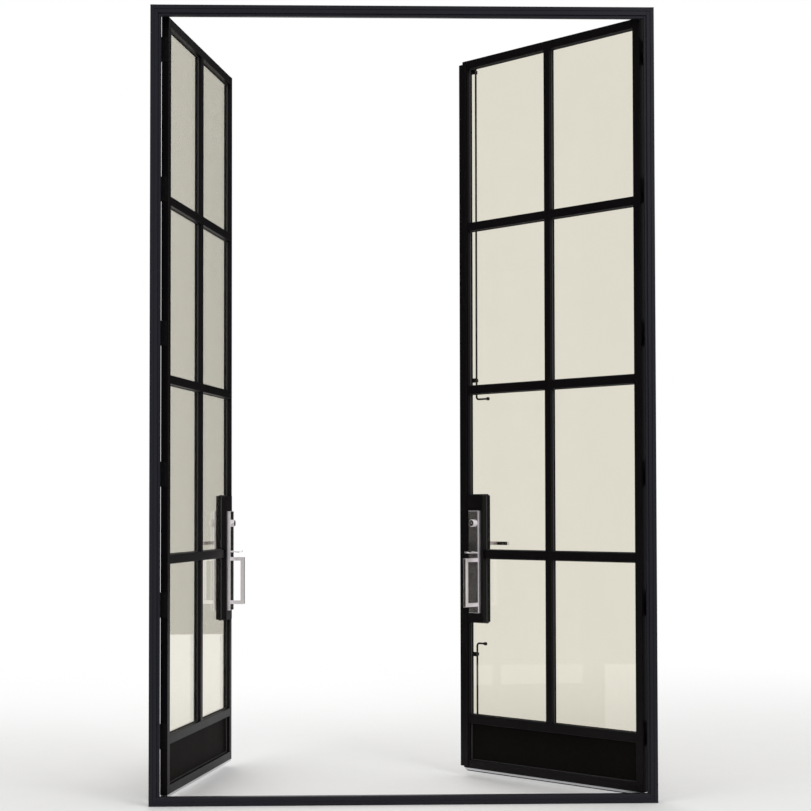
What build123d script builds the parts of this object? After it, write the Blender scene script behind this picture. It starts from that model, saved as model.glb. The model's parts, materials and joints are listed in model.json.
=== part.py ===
"""French doors in a slim steel frame: an inswing pair with glazed upper lites and a kick panel.

Millimetres. X runs to the right seen from the exterior, Y runs into the room, Z is up.
The origin is the centre of the threshold's underside. Both leaves stand open.
"""
import math
import os

from build123d import *

os.makedirs("parts", exist_ok=True)

LEFT = 1
RIGHT = -1
SIDES = (LEFT, RIGHT)
SIDE_NAME = {LEFT: "left", RIGHT: "right"}

# How far a cut runs on past the faces that it opens
CUT = 1.0

# Frame
FRAME_W = 1905.0
FRAME_H = 3010.0
FRAME_D = 66.0
JAMB_FACE = 28.0
HEAD_FACE = 30.0
SILL_H = 33.0
LEG_T = 14.0
SILL_LEG = 12.0
FACE_STEP = 3.0
ARRIS = 0.8
FIX_R = 4.5
FIX_Y = 22.0
FIX_UP = (500.0, 1020.0)
FIX_DOWN = (1010.0, 410.0)
NOSE = 5.0
SEAL_T = 2.9
SEAL_BASE = 1.2
SEAL_W = 9.0
SEAL_NIB = 3.6
SEAL_EASE = 1.2
SEAL_IN = 1.0
SEAL_LIFT = 2.0
SEAL_JOINT = 0.3
KEEPER_W = 24.0
KEEPER_D = 20.0
KEEPER_H = 20.0
KEEPER_BORE = 14.0
KEEPER_EASE = 3.0

# Hinge axis, measured from the jamb's outer face and from the leaf
PIVOT_IN = 19.3
PIVOT_Y = 43.0
EDGE_IN = 4.0
PIVOT_OUT = 12.0
LEFT_OPEN = 81.0
RIGHT_OPEN = 45.0

# Leaf
LEAF_W = 926.7
LEAF_T = 28.0
SILL_LAP = 3.0
HEAD_LAP = 5.0
HINGE_STILE_W = 32.0
LOCK_STILE_W = 30.0
RAIL_H = 34.0
MULLION_W = 31.0
MID_RAIL_TOP = 251.0
ROWS = 4
LIP_D = 16.0
LIP = 8.0
GLASS_T = 6.0
EDGE_GAP = 2.0
SWEEP_H = 8.0
SWEEP_END = 6.0
CARRIER_IN = 1.5
CARRIER_TOP = 3.0
BLADE_H = 6.0
BLADE_W = 8.0
BLADE_TIP = 2.0

# Hinges: three from the leaf's foot, one from its head, and steps that share out the way between
HINGE_UP = (220.0, 715.0, 1210.0)
HINGE_DOWN = 125.0
HINGE_STEPS = (535.0, 550.0, 535.0)
KNUCKLE_R = 5.0
KNUCKLE_H = 47.0
WASHER_T = 1.6
WASHER_R = 4.7
PIN_R = 2.5
PIN_H = 38.0
PIN_END = 1.0
PIN_SIDES = 12
PLATE_T = 2.5
FRAME_PLATE_Y = 11.0
DOOR_PLATE_IN = 4.0
KNUCKLE_CLEAR = 6.4
RUN_FIT = 0.05

# Lock box and entrance set
BOX_W = 117.0
BOX_Z0 = 635.0
BOX_Z1 = 1163.0
BOX_PROUD = 9.0
BOX_R = 7.0
BACKSET = 76.0
PLATE_W = 54.0
PLATE_Z0 = 675.0
PLATE_Z1 = 1097.0
PLATE_D = 13.0
PLATE_EASE = 1.2
CYL_Z = 1046.0
CYL_R = 15.0
CYL_OUT = 12.0
CYL_EASE = 2.0
CYL_BODY_R = 11.0
CYL_BODY_END = 1.0
CYL_FIT = 0.1
PLUG_R = 6.5
PLUG_END = 9.0
PLUG_REST = 1.0
KEY_W = 2.4
KEY_H = 8.0
KEY_DEPTH = 12.0
DUMMY_KEY_DEPTH = 3.0
THUMB_Z = 925.0
THUMB_OUT = 46.0
THUMB_R = 12.0
THUMB_T = 4.0
THUMB_DISH = 2.0
THUMB_RISE = 2.0
THUMB_BOW = 16.0
THUMB_NECK = 6.0
THUMB_NECK_W = 12.0
THUMB_HEEL = 4.0
THUMB_TAIL = 8.0
THUMB_TAIL_H = 6.0
THUMB_FIT = 0.5
THUMB_SLOT_W = 16.0
THUMB_SLOT_H = 10.0
PULL_BAR = 15.0
PULL_Z0 = 701.0
PULL_Z1 = 901.0
PULL_OUT = 54.0
PULL_EASE = 1.2
LEVER_Z = 962.0
LEVER_LEN = 108.0
LEVER_BAR = 14.0
LEVER_GAP = 18.0
LEVER_EASE = 1.5
LEVER_HEEL = 1.0
STEM_R = 8.0
STEM_END = 1.0
TURN_STEM_R = 5.0
ROSE_R = 13.0
ROSE_T = 4.0
GRIP_W = 8.0
GRIP_H = 32.0
GRIP_OUT = 14.0
GRIP_EASE = 2.0

# Latch and deadbolt
LATCH_Y = 14.0
LATCH_Z = 20.0
LATCH_OUT = 12.0
LATCH_REST = 2.0
LATCH_BEVEL = 9.0
LATCH_POCKET = 22.0
DEAD_Y = 12.0
DEAD_Z = 30.0
DEAD_BED = 30.0
DEAD_REST = 4.0
DEAD_POCKET = 30.0
POCKET_EASE = 1.0
SLIDE_FIT = 0.3
FACE_T = 3.0
FACE_W = 25.0
FACE_Z0 = 890.0
FACE_Z1 = 1120.0

# Astragal and surface bolts, on the right leaf, from its foot, its head and the lock box
ASTRAGAL_IN = 25.0
ASTRAGAL_OUT = 15.0
ASTRAGAL_T = 5.0
ASTRAGAL_RELIEF = 1.0
ASTRAGAL_UP = 7.0
ASTRAGAL_DOWN = 13.0
ROD_R = 4.0
ROD_IN = 40.0
BEND_R = 12.0
TOP_BEND_OVER = 400.0
TOP_END_DOWN = 10.0
TOP_ARM = 64.0
BOTTOM_BEND_UP = 515.0
BOTTOM_ARM = 46.0
KNOB_R = 7.0
KNOB_L = 13.0
KNOB_EASE = 2.5
GUIDE_UP = (40.0, 470.0)
GUIDE_OVER = 79.0
GUIDE_DOWN = 44.0
EYE_R = 7.0
EYE_EASE = 3.5
EYE_H = 12.0
FOOT_H = 18.0
FOOT_T = 3.0
FOOT_IN = 6.0

# Derived sizes in the leaf's own frame: s from the hinge axis, y into the room, z up
LEAF_Z0 = SILL_H - SILL_LAP
LEAF_Z1 = FRAME_H - HEAD_FACE + HEAD_LAP
FIX_Z = [*FIX_UP, *(FRAME_H - down for down in FIX_DOWN)]
HINGE_Z = [LEAF_Z0 + up for up in HINGE_UP]
HINGE_WAY = LEAF_Z1 - HINGE_DOWN - HINGE_Z[-1]
for step in HINGE_STEPS:
    HINGE_Z.append(HINGE_Z[-1] + HINGE_WAY * step / sum(HINGE_STEPS))
TOP_BEND_Z = BOX_Z1 + TOP_BEND_OVER
GUIDE_Z = [*(LEAF_Z0 + up for up in GUIDE_UP), TOP_BEND_Z + GUIDE_OVER, LEAF_Z1 - GUIDE_DOWN]
LOCK_EDGE = EDGE_IN + LEAF_W
INNER_Y = -PIVOT_OUT
OUTER_Y = INNER_Y - LEAF_T
GLASS_Y0 = OUTER_Y + LIP_D
GLASS_Y1 = GLASS_Y0 + GLASS_T
HINGE_IN = EDGE_IN + HINGE_STILE_W
LOCK_IN = LOCK_EDGE - LOCK_STILE_W
MID_S = (HINGE_IN + LOCK_IN) / 2
TOP_RAIL_Z = LEAF_Z1 - RAIL_H
LITE_H = (TOP_RAIL_Z - MID_RAIL_TOP - (ROWS - 1) * RAIL_H) / ROWS
MUNTIN_Z = [MID_RAIL_TOP + (k + 1) * LITE_H + (k + 0.5) * RAIL_H for k in range(ROWS - 1)]
BOX_S0 = LOCK_EDGE - BOX_W
SET_S = LOCK_EDGE - BACKSET
MID_Y = (OUTER_Y + INNER_Y) / 2
PAD_OUT = OUTER_Y - BOX_PROUD
PAD_IN = INNER_Y + BOX_PROUD
FRONT_Y = PAD_OUT - PLATE_D
BACK_Y = PAD_IN + PLATE_D
ROD_S = LOCK_EDGE - ROD_IN


def leaf_plane(side):
    """Plane of a leaf at rest: origin on its hinge axis, X along the leaf, Z up."""
    turn = math.radians(LEFT_OPEN if side == LEFT else RIGHT_OPEN)
    origin = (-side * (FRAME_W / 2 - PIVOT_IN), PIVOT_Y, 0)
    return Plane(origin=origin, x_dir=(math.cos(turn), side * math.sin(turn), 0), z_dir=(0, 0, 1))


LEAF = {side: leaf_plane(side) for side in SIDES}


def face_plane(side, y):
    """Plane parallel to a leaf's face at depth y, seen from the exterior, Y up."""
    base = LEAF[side]
    return Plane(origin=base.from_local_coords((0, y, 0)), x_dir=base.x_dir, z_dir=-base.y_dir)


def side_plane(side, s):
    """Plane square to a leaf's length at s: X is depth into the room, Y is up."""
    base = LEAF[side]
    return Plane(origin=base.from_local_coords((side * s, 0, 0)), x_dir=base.y_dir, z_dir=base.x_dir)


def save(piece, name):
    """Labels a finished piece and writes its STEP file."""
    piece.part.label = name
    export_step(piece.part, f"parts/{name}.step")


def block(x, y, z, mode=Mode.ADD):
    """Box between pairs of coordinates in the current workplane."""
    with Locations((sum(x) / 2, sum(y) / 2, sum(z) / 2)):
        Box(abs(x[1] - x[0]), abs(y[1] - y[0]), abs(z[1] - z[0]), mode=mode)


def leaf_block(side, s, y, z, mode=Mode.ADD):
    """Box between pairs of leaf coordinates; s grows from the hinge axis on either side."""
    block((side * s[0], side * s[1]), y, z, mode)


def leaf_round(side, s, y, z, radius, mode=Mode.ADD):
    """Cylinder square to the leaf's face at (s, z), between two depths y."""
    with Locations((side * s, sum(y) / 2, z)):
        Cylinder(radius, abs(y[1] - y[0]), rotation=(90, 0, 0), mode=mode)


def patch(x, y, mode=Mode.ADD):
    """Rectangle between pairs of coordinates in the current sketch."""
    with Locations((sum(x) / 2, sum(y) / 2)):
        Rectangle(abs(x[1] - x[0]), abs(y[1] - y[0]), mode=mode)


def exterior_face(piece, side):
    """The faces of a leaf piece that lie furthest to the exterior."""
    outward = Axis((0, 0, 0), -LEAF[side].y_dir)
    return piece.faces().filter_by(outward).group_by(outward)[-1]


def interior_face(piece, side):
    """The faces of a leaf piece that lie furthest into the room."""
    inward = Axis((0, 0, 0), LEAF[side].y_dir)
    return piece.faces().filter_by(inward).group_by(inward)[-1]


# Frame
def frame_profile(plane, stop_w, leg_t):
    """Section of a frame bar: a leg over the full depth and a stepped stop in front."""
    with BuildSketch(plane) as section:
        with BuildLine():
            Polyline(
                (0, 0), (leg_t, 0), (leg_t, FACE_STEP), (stop_w, FACE_STEP),
                (stop_w, FRAME_D / 2), (leg_t, FRAME_D / 2), (leg_t, FRAME_D), (0, FRAME_D),
                close=True)
        make_face()
        corners = section.vertices().sort_by(Axis.Y)[0:2] + section.vertices().sort_by(Axis.X)[-2:]
        chamfer(corners, ARRIS)
    return section.sketch


def jamb(side):
    """Jamb: the frame section over the full height, its stop coped at both ends."""
    def out(u):
        return -side * (FRAME_W / 2 - u)

    plane = Plane(origin=(out(0), -FRAME_D / 2, 0), x_dir=(side, 0, 0), z_dir=(0, 0, side))
    with BuildPart() as piece:
        extrude(frame_profile(plane, JAMB_FACE, LEG_T), amount=side * FRAME_H)
        for z in ((-CUT, SILL_LEG), (FRAME_H - LEG_T, FRAME_H + CUT)):
            block((out(LEG_T), out(JAMB_FACE + CUT)), (-FRAME_D, CUT), z, Mode.SUBTRACT)
        with Locations([(out(LEG_T / 2), FIX_Y, z) for z in FIX_Z]):
            Cylinder(FIX_R, LEG_T * 2, rotation=(0, 90, 0), mode=Mode.SUBTRACT)
    save(piece, f"frame_jamb_{SIDE_NAME[side]}")


def frame_head():
    """Head between the jambs' legs, its stop coped to meet their stops."""
    leg_x = FRAME_W / 2 - LEG_T
    stop_x = FRAME_W / 2 - JAMB_FACE
    plane = Plane(origin=(-leg_x, -FRAME_D / 2, FRAME_H), x_dir=(0, 0, -1), z_dir=(1, 0, 0))
    with BuildPart() as piece:
        extrude(frame_profile(plane, HEAD_FACE, LEG_T), amount=2 * leg_x)
        for way in (-1, 1):
            cope_z = (FRAME_H - HEAD_FACE - CUT, FRAME_H - LEG_T)
            block((way * stop_x, way * (leg_x + CUT)), (-FRAME_D, CUT), cope_z, Mode.SUBTRACT)
    save(piece, "frame_head")


def threshold():
    """Threshold: the same section, higher at the stop, with a bevelled nose."""
    leg_x = FRAME_W / 2 - LEG_T
    stop_x = FRAME_W / 2 - JAMB_FACE
    plane = Plane(origin=(leg_x, -FRAME_D / 2, 0), x_dir=(0, 0, 1), z_dir=(-1, 0, 0))
    with BuildPart() as piece:
        with BuildSketch(plane) as section:
            with BuildLine():
                Polyline(
                    (0, 0), (LEG_T, 0), (LEG_T, FACE_STEP), (SILL_H - NOSE, FACE_STEP),
                    (SILL_H, FACE_STEP + NOSE), (SILL_H, FRAME_D / 2), (SILL_LEG, FRAME_D / 2),
                    (SILL_LEG, FRAME_D), (0, FRAME_D), close=True)
            make_face()
        extrude(section.sketch, amount=2 * leg_x)
        for way in (-1, 1):
            cope_z = (SILL_LEG, SILL_H + CUT)
            block((way * stop_x, way * (leg_x + CUT)), (-FRAME_D, CUT), cope_z, Mode.SUBTRACT)
    save(piece, "threshold")


def seal_profile(plane):
    """Section of a rubber strip: a flat base with an eased nib along its middle."""
    nib = SEAL_NIB / 2
    with BuildSketch(plane) as section:
        patch((0, SEAL_W), (0, SEAL_BASE))
        patch((SEAL_W / 2 - nib, SEAL_W / 2 + nib), (0, SEAL_T))
        chamfer(section.vertices().sort_by(Axis.Y)[-2:], SEAL_EASE)
    return section.sketch


def frame_seals():
    """Rubber strips on the stops of both jambs and, between them, the head."""
    near = FRAME_W / 2 - JAMB_FACE + SEAL_IN + SEAL_W
    head_z = FRAME_H - HEAD_FACE + SEAL_IN
    foot_z = SILL_H + SEAL_LIFT
    with BuildPart() as piece:
        for side in SIDES:
            plane = Plane(origin=(-side * near, 0, foot_z), x_dir=(side, 0, 0), z_dir=(0, 0, side))
            extrude(seal_profile(plane), amount=side * (head_z + SEAL_W - foot_z))
        start = near - SEAL_W - SEAL_JOINT
        plane = Plane(origin=(start, 0, head_z), x_dir=(0, 0, 1), z_dir=(-1, 0, 0))
        extrude(seal_profile(plane), amount=2 * start)
    save(piece, "frame_seals")


def bolt_keepers():
    """Keeper blocks for the surface bolts on the head and the threshold."""
    x = FRAME_W / 2 - PIVOT_IN - ROD_S
    half = KEEPER_W / 2
    heights = ((FRAME_H - KEEPER_H, FRAME_H, KEEPER_BORE), (0, SILL_LEG, SILL_LEG))
    with BuildPart() as piece:
        for low, high, deep in heights:
            with BuildSketch(Plane.XY.offset(low)) as outline:
                patch((x - half, x + half), (FRAME_D / 2, FRAME_D / 2 + KEEPER_D))
                chamfer(outline.vertices().sort_by(Axis.Y)[-2:], KEEPER_EASE)
            extrude(outline.sketch, amount=high - low)
            with Locations((x, PIVOT_Y, low + deep / 2)):
                Cylinder(ROD_R + SLIDE_FIT, deep, mode=Mode.SUBTRACT)
    save(piece, "bolt_keepers")


# Hinges
def hinge_half(plane, plate_x, plate_y, knuckle_z, plate_z):
    """Half of a hinge: a plate that wraps round into one knuckle."""
    with BuildSketch(plane.offset(knuckle_z[0])) as wrap:
        Circle(KNUCKLE_R)
        patch(plate_x, (-KNUCKLE_CLEAR, 0))
    extrude(wrap.sketch, amount=knuckle_z[1] - knuckle_z[0])
    with BuildSketch(plane.offset(plate_z[0])) as plate:
        patch(plate_x, plate_y)
    extrude(plate.sketch, amount=plate_z[1] - plate_z[0])


def hinge_frame_leaves():
    """Frame halves of all the hinges, with the lower knuckles."""
    with BuildPart() as piece:
        for side in SIDES:
            plane = Plane(origin=(-side * (FRAME_W / 2 - PIVOT_IN), PIVOT_Y, 0))
            near = PIVOT_IN - LEG_T
            plate_x = (-side * near, -side * (near - PLATE_T))
            plate_y = (FRAME_PLATE_Y - PIVOT_Y, -KNUCKLE_CLEAR)
            for z in HINGE_Z:
                low = (z - WASHER_T / 2 - KNUCKLE_H, z - WASHER_T / 2)
                hinge_half(plane, plate_x, plate_y, low, (low[0], z + WASHER_T / 2 + KNUCKLE_H))
    save(piece, "hinge_frame_leaves")


def hinge_door_leaves(side):
    """Door halves of one leaf's hinges; the upper knuckles are bored for the pins from below."""
    plate_x = (side * (EDGE_IN - PLATE_T), side * EDGE_IN)
    with BuildPart() as piece:
        for z in HINGE_Z:
            high = (z + WASHER_T / 2, z + WASHER_T / 2 + KNUCKLE_H)
            plate_z = (z - WASHER_T / 2 - KNUCKLE_H, high[1])
            hinge_half(LEAF[side], plate_x, (OUTER_Y + DOOR_PLATE_IN, -KNUCKLE_CLEAR), high, plate_z)
            with BuildSketch(LEAF[side].offset(high[0])) as bore:
                RegularPolygon(PIN_R + RUN_FIT, PIN_SIDES, major_radius=False)
            extrude(bore.sketch, amount=PIN_H + PIN_END, mode=Mode.SUBTRACT)
    save(piece, f"{SIDE_NAME[side]}_hinge_leaves")


def hinge_pins():
    """Fixed hinge pins: a washer on each lower knuckle and a pin up into the one above."""
    places = [(-side * (FRAME_W / 2 - PIVOT_IN), PIVOT_Y) for side in SIDES]
    washer_top = WASHER_T / 2
    with BuildPart() as piece:
        for z in HINGE_Z:
            for radius, low, high in (
                    (WASHER_R, -washer_top, washer_top), (PIN_R, washer_top, washer_top + PIN_H)):
                with BuildSketch(Plane.XY.offset(z + low)) as section:
                    with Locations(places):
                        RegularPolygon(radius, PIN_SIDES)
                extrude(section.sketch, amount=high - low)
    save(piece, "hinge_pins")


# Leaf framing
def bar_profile(plane, width, lips):
    """Section of a leaf bar: exterior flange, and a narrower web behind the glass line."""
    with BuildSketch(plane) as section:
        patch((0, width), (0, LIP_D))
        patch((lips[0], width - lips[1]), (LIP_D, LEAF_T))
        chamfer(section.vertices().group_by(Axis.Y)[0], ARRIS)
    return section.sketch


def upright(side, s, z, lips):
    """Vertical leaf bar between two levels."""
    base = LEAF[side]
    origin = base.from_local_coords((side * s[0], OUTER_Y, z[0]))
    plane = Plane(origin=origin, x_dir=base.x_dir * side, z_dir=base.z_dir * side)
    extrude(bar_profile(plane, s[1] - s[0], lips), amount=side * (z[1] - z[0]))


def crossbar(side, s, z, lips):
    """Horizontal leaf bar; its web runs on behind the flanges of the bars it meets."""
    base = LEAF[side]
    origin = base.from_local_coords((side * (s[0] - LIP), OUTER_Y, z[0]))
    plane = Plane(origin=origin, x_dir=base.z_dir, z_dir=base.x_dir * -1)
    extrude(bar_profile(plane, z[1] - z[0], lips), amount=-side * (s[1] - s[0] + 2 * LIP))
    for cope in ((s[0] - LIP - CUT, s[0]), (s[1], s[1] + LIP + CUT)):
        leaf_block(side, cope, (OUTER_Y - CUT, GLASS_Y0), z, Mode.SUBTRACT)


def hinge_stile(side):
    """Stile along the hinges, over the leaf's full height."""
    with BuildPart(LEAF[side]) as piece:
        upright(side, (EDGE_IN, HINGE_IN), (LEAF_Z0, LEAF_Z1), (0, LIP))
    save(piece, f"{SIDE_NAME[side]}_hinge_stile")


def lock_stile(side):
    """Lock stile in two lengths, below and above the lock box."""
    with BuildPart(LEAF[side]) as piece:
        for z in ((LEAF_Z0, BOX_Z0), (BOX_Z1, LEAF_Z1)):
            upright(side, (LOCK_IN, LOCK_EDGE), z, (LIP, 0))
    save(piece, f"{SIDE_NAME[side]}_lock_stile")


def rails(side):
    """Top rail, mid rail and bottom rail between the stiles."""
    sections = {
        "top_rail": ((TOP_RAIL_Z, LEAF_Z1), (LIP, 0)),
        "mid_rail": ((MID_RAIL_TOP - RAIL_H, MID_RAIL_TOP), (LIP, LIP)),
        "bottom_rail": ((LEAF_Z0, LEAF_Z0 + RAIL_H), (0, LIP)),
    }
    for name, (z, lips) in sections.items():
        with BuildPart(LEAF[side]) as piece:
            crossbar(side, (HINGE_IN, LOCK_IN), z, lips)
        save(piece, f"{SIDE_NAME[side]}_{name}")


def mullion(side):
    """Full-height glazing bar, coped over the mid rail and the top rail."""
    s = (MID_S - MULLION_W / 2, MID_S + MULLION_W / 2)
    low, high = MID_RAIL_TOP - LIP, TOP_RAIL_Z + LIP
    with BuildPart(LEAF[side]) as piece:
        upright(side, s, (low, high), (LIP, LIP))
        for cope in ((low - CUT, MID_RAIL_TOP), (TOP_RAIL_Z, high + CUT)):
            leaf_block(side, s, (OUTER_Y - CUT, GLASS_Y0), cope, Mode.SUBTRACT)
    save(piece, f"{SIDE_NAME[side]}_mullion")


def muntins(side):
    """Horizontal glazing bars; the lowest one stops at the lock box."""
    half = MULLION_W / 2
    with BuildPart(LEAF[side]) as piece:
        for z in MUNTIN_Z:
            level = (z - RAIL_H / 2, z + RAIL_H / 2)
            end = BOX_S0 if BOX_Z0 < z < BOX_Z1 else LOCK_IN
            crossbar(side, (HINGE_IN, MID_S - half), level, (LIP, LIP))
            crossbar(side, (MID_S + half, end), level, (LIP, LIP))
    save(piece, f"{SIDE_NAME[side]}_muntins")


# Glazing
def columns():
    """Clear openings between the webs of the two glazed columns."""
    half = MULLION_W / 2 - LIP
    return ((HINGE_IN - LIP, MID_S - half), (MID_S + half, LOCK_IN + LIP))


def levels():
    """Clear openings between the webs of the glazed rows, from the bottom up."""
    low = [MID_RAIL_TOP - LIP] + [z + RAIL_H / 2 - LIP for z in MUNTIN_Z]
    high = [z - RAIL_H / 2 + LIP for z in MUNTIN_Z] + [TOP_RAIL_Z + LIP]
    return list(zip(low, high))


def panel_opening():
    """Clear opening between the webs round the kick panel, along the leaf and in height."""
    s = (HINGE_IN - LIP, LOCK_IN + LIP)
    return s, (LEAF_Z0 + RAIL_H - LIP, MID_RAIL_TOP - RAIL_H + LIP)


def shrink(pair, by):
    """Pair of coordinates drawn in by the same amount at both ends."""
    return pair[0] + by, pair[1] - by


def panes(side):
    """Glass of each column; the lock column is notched round the lock box."""
    for name, column in zip(("hinge", "lock"), columns()):
        with BuildPart(LEAF[side]) as piece:
            for level in levels():
                y = (GLASS_Y0, GLASS_Y1)
                leaf_block(side, shrink(column, EDGE_GAP), y, shrink(level, EDGE_GAP))
            if name == "lock":
                notch_s = (BOX_S0 + LIP - EDGE_GAP, LOCK_EDGE)
                notch_z = shrink((BOX_Z0, BOX_Z1), LIP - EDGE_GAP)
                leaf_block(side, notch_s, (GLASS_Y0 - CUT, GLASS_Y1 + CUT), notch_z, Mode.SUBTRACT)
        save(piece, f"{SIDE_NAME[side]}_panes_{name}_column")


def kick_panel(side):
    """Flat panel between the bottom rail and the mid rail, in the glass line."""
    s, z = panel_opening()
    with BuildPart(LEAF[side]) as piece:
        leaf_block(side, shrink(s, EDGE_GAP), (GLASS_Y0, GLASS_Y1), shrink(z, EDGE_GAP))
    save(piece, f"{SIDE_NAME[side]}_kick_panel")


def glazing_beads(side):
    """Interior beads round every pane and the kick panel."""
    y = (GLASS_Y1, INNER_Y)
    cut_y = (y[0] - CUT, y[1] + CUT)
    openings = [(s, z) for s in columns() for z in levels()] + [panel_opening()]
    core_s = (BOX_S0 + LIP, LOCK_EDGE)
    core_z = shrink((BOX_Z0, BOX_Z1), LIP)
    web = RAIL_H / 2 - LIP
    crossed = [z for z in MUNTIN_Z if BOX_Z0 < z < BOX_Z1]
    with BuildPart(LEAF[side]) as piece:
        for s, z in openings:
            leaf_block(side, s, y, z)
        for s, z in openings:
            leaf_block(side, shrink(s, LIP), cut_y, shrink(z, LIP), Mode.SUBTRACT)
        # The beads make way for the lock box, then run round its core
        leaf_block(side, (BOX_S0, core_s[1]), cut_y, (BOX_Z0, BOX_Z1), Mode.SUBTRACT)
        splits = [BOX_Z0] + [v for z in crossed for v in (z - web, z + web)] + [BOX_Z1]
        for z in zip(splits[0::2], splits[1::2]):
            leaf_block(side, (BOX_S0, core_s[0]), y, z)
        for z in ((BOX_Z0, core_z[0]), (core_z[1], BOX_Z1)):
            leaf_block(side, (core_s[0], LOCK_IN + LIP), y, z)
    save(piece, f"{SIDE_NAME[side]}_glazing_beads")


def sweep_strip(side):
    """Bottom sweep: a metal channel under the leaf with a rubber blade held in it."""
    s = (EDGE_IN + SWEEP_END, LOCK_EDGE - SWEEP_END)
    top, roof, low = LEAF_Z0, LEAF_Z0 - CARRIER_TOP, LEAF_Z0 - SWEEP_H
    slot = (MID_Y - BLADE_W / 2, MID_Y + BLADE_W / 2)
    plane = side_plane(side, s[0])
    with BuildPart() as piece:
        with BuildSketch(plane) as channel:
            patch((OUTER_Y + CARRIER_IN, INNER_Y - CARRIER_IN), (low, top))
            patch(slot, (low, roof), Mode.SUBTRACT)
        extrude(channel.sketch, amount=side * (s[1] - s[0]))
    save(piece, f"{SIDE_NAME[side]}_sweep_carrier")
    with BuildPart() as piece:
        with BuildSketch(plane) as blade:
            with BuildLine():
                Polyline(
                    (slot[0], roof), (slot[1], roof), (slot[1], low),
                    (MID_Y + BLADE_TIP / 2, low - BLADE_H), (MID_Y - BLADE_TIP / 2, low - BLADE_H),
                    (slot[0], low), close=True)
            make_face()
        extrude(blade.sketch, amount=side * (s[1] - s[0]))
    save(piece, f"{SIDE_NAME[side]}_sweep_blade")


# Lock box
def interior_holes(side):
    """Heights and radii of the stems' holes on the interior; the fixed leaf has no thumbturn."""
    holes = [(LEVER_Z, STEM_R + RUN_FIT)]
    if side == LEFT:
        holes.append((CYL_Z, TURN_STEM_R + RUN_FIT))
    return holes


def rounded_slab(side, s, z, y, radius):
    """Slab with both hinge-side corners rounded, from depth y[0] in to y[1]."""
    with BuildSketch(face_plane(side, y[1])) as outline:
        patch((side * s[0], side * s[1]), z)
        corners = outline.vertices().sort_by(Axis.X)
        fillet(corners[:2] if side == LEFT else corners[-2:], radius)
    extrude(outline.sketch, amount=y[1] - y[0])


def lock_box(side):
    """Steel box for the lock, proud of the leaf on both faces, with its cavities."""
    z = (BOX_Z0, BOX_Z1)
    with BuildPart(LEAF[side]) as piece:
        rounded_slab(side, (BOX_S0, LOCK_IN), z, (PAD_OUT, OUTER_Y), BOX_R)
        rounded_slab(side, (BOX_S0, LOCK_EDGE), z, (OUTER_Y, GLASS_Y0), BOX_R)
        leaf_block(side, (BOX_S0 + LIP, LOCK_EDGE), (GLASS_Y0, INNER_Y), shrink(z, LIP))
        leaf_block(side, (LOCK_IN + LIP, LOCK_EDGE), (GLASS_Y0, INNER_Y), z)
        rounded_slab(side, (BOX_S0, LOCK_EDGE), z, (INNER_Y, PAD_IN), BOX_R)
        inset = (LOCK_EDGE - FACE_T, LOCK_EDGE + CUT)
        plate_y = (MID_Y - FACE_W / 2, MID_Y + FACE_W / 2)
        leaf_block(side, inset, plate_y, (FACE_Z0, FACE_Z1), Mode.SUBTRACT)
        half_y, half_z = LATCH_Y / 2 + SLIDE_FIT, LATCH_Z / 2 + SLIDE_FIT
        dead_y, dead_z = DEAD_Y / 2 + SLIDE_FIT, DEAD_Z / 2 + SLIDE_FIT
        if side == LEFT:
            latch_s, dead_s, spread = SET_S + STEM_R, SET_S + DEAD_BED, 0
        else:
            latch_s, dead_s, spread = LOCK_EDGE - LATCH_POCKET, LOCK_EDGE - DEAD_POCKET, POCKET_EASE
        for s, dy, dz, level in ((latch_s, half_y, half_z, LEVER_Z), (dead_s, dead_y, dead_z, CYL_Z)):
            cut_y = (MID_Y - dy - spread, MID_Y + dy + spread)
            cut_z = (level - dz - spread, level + dz + spread)
            leaf_block(side, (s, LOCK_EDGE + CUT), cut_y, cut_z, Mode.SUBTRACT)
        leaf_round(side, SET_S, (PAD_OUT - CUT, OUTER_Y), CYL_Z, CYL_BODY_R + CYL_FIT, Mode.SUBTRACT)
        for level, radius in interior_holes(side):
            leaf_round(side, SET_S, (INNER_Y, PAD_IN + CUT), level, radius, Mode.SUBTRACT)
    save(piece, f"{SIDE_NAME[side]}_lock_box")


def edge_plate(side):
    """Faceplate in the active leaf's edge, strike plate in the other one."""
    name = "faceplate" if side == LEFT else "strike_plate"
    spread = SLIDE_FIT if side == LEFT else SLIDE_FIT + POCKET_EASE
    with BuildPart(LEAF[side]) as piece:
        y = (MID_Y - FACE_W / 2, MID_Y + FACE_W / 2)
        leaf_block(side, (LOCK_EDGE - FACE_T, LOCK_EDGE), y, (FACE_Z0, FACE_Z1))
        through = (LOCK_EDGE - FACE_T - CUT, LOCK_EDGE + CUT)
        for dy, dz, level in ((LATCH_Y, LATCH_Z, LEVER_Z), (DEAD_Y, DEAD_Z, CYL_Z)):
            cut_y = (MID_Y - dy / 2 - spread, MID_Y + dy / 2 + spread)
            cut_z = (level - dz / 2 - spread, level + dz / 2 + spread)
            leaf_block(side, through, cut_y, cut_z, Mode.SUBTRACT)
    save(piece, f"{SIDE_NAME[side]}_{name}")


def latch_bolt():
    """Sprung latch, bevelled on the exterior side, standing out of the leaf's edge."""
    with BuildPart(LEAF[LEFT]) as piece:
        s = (SET_S + STEM_R + LATCH_OUT + LATCH_REST, LOCK_EDGE + LATCH_OUT)
        y = (MID_Y - LATCH_Y / 2, MID_Y + LATCH_Y / 2)
        leaf_block(LEFT, s, y, (LEVER_Z - LATCH_Z / 2, LEVER_Z + LATCH_Z / 2))
        tip = piece.faces().sort_by(Axis((0, 0, 0), LEAF[LEFT].x_dir))[-1]
        nose = tip.edges().sort_by(Axis((0, 0, 0), -LEAF[LEFT].y_dir))[-1]
        chamfer(nose, LATCH_BEVEL)
    save(piece, "left_latch_bolt")


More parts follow.
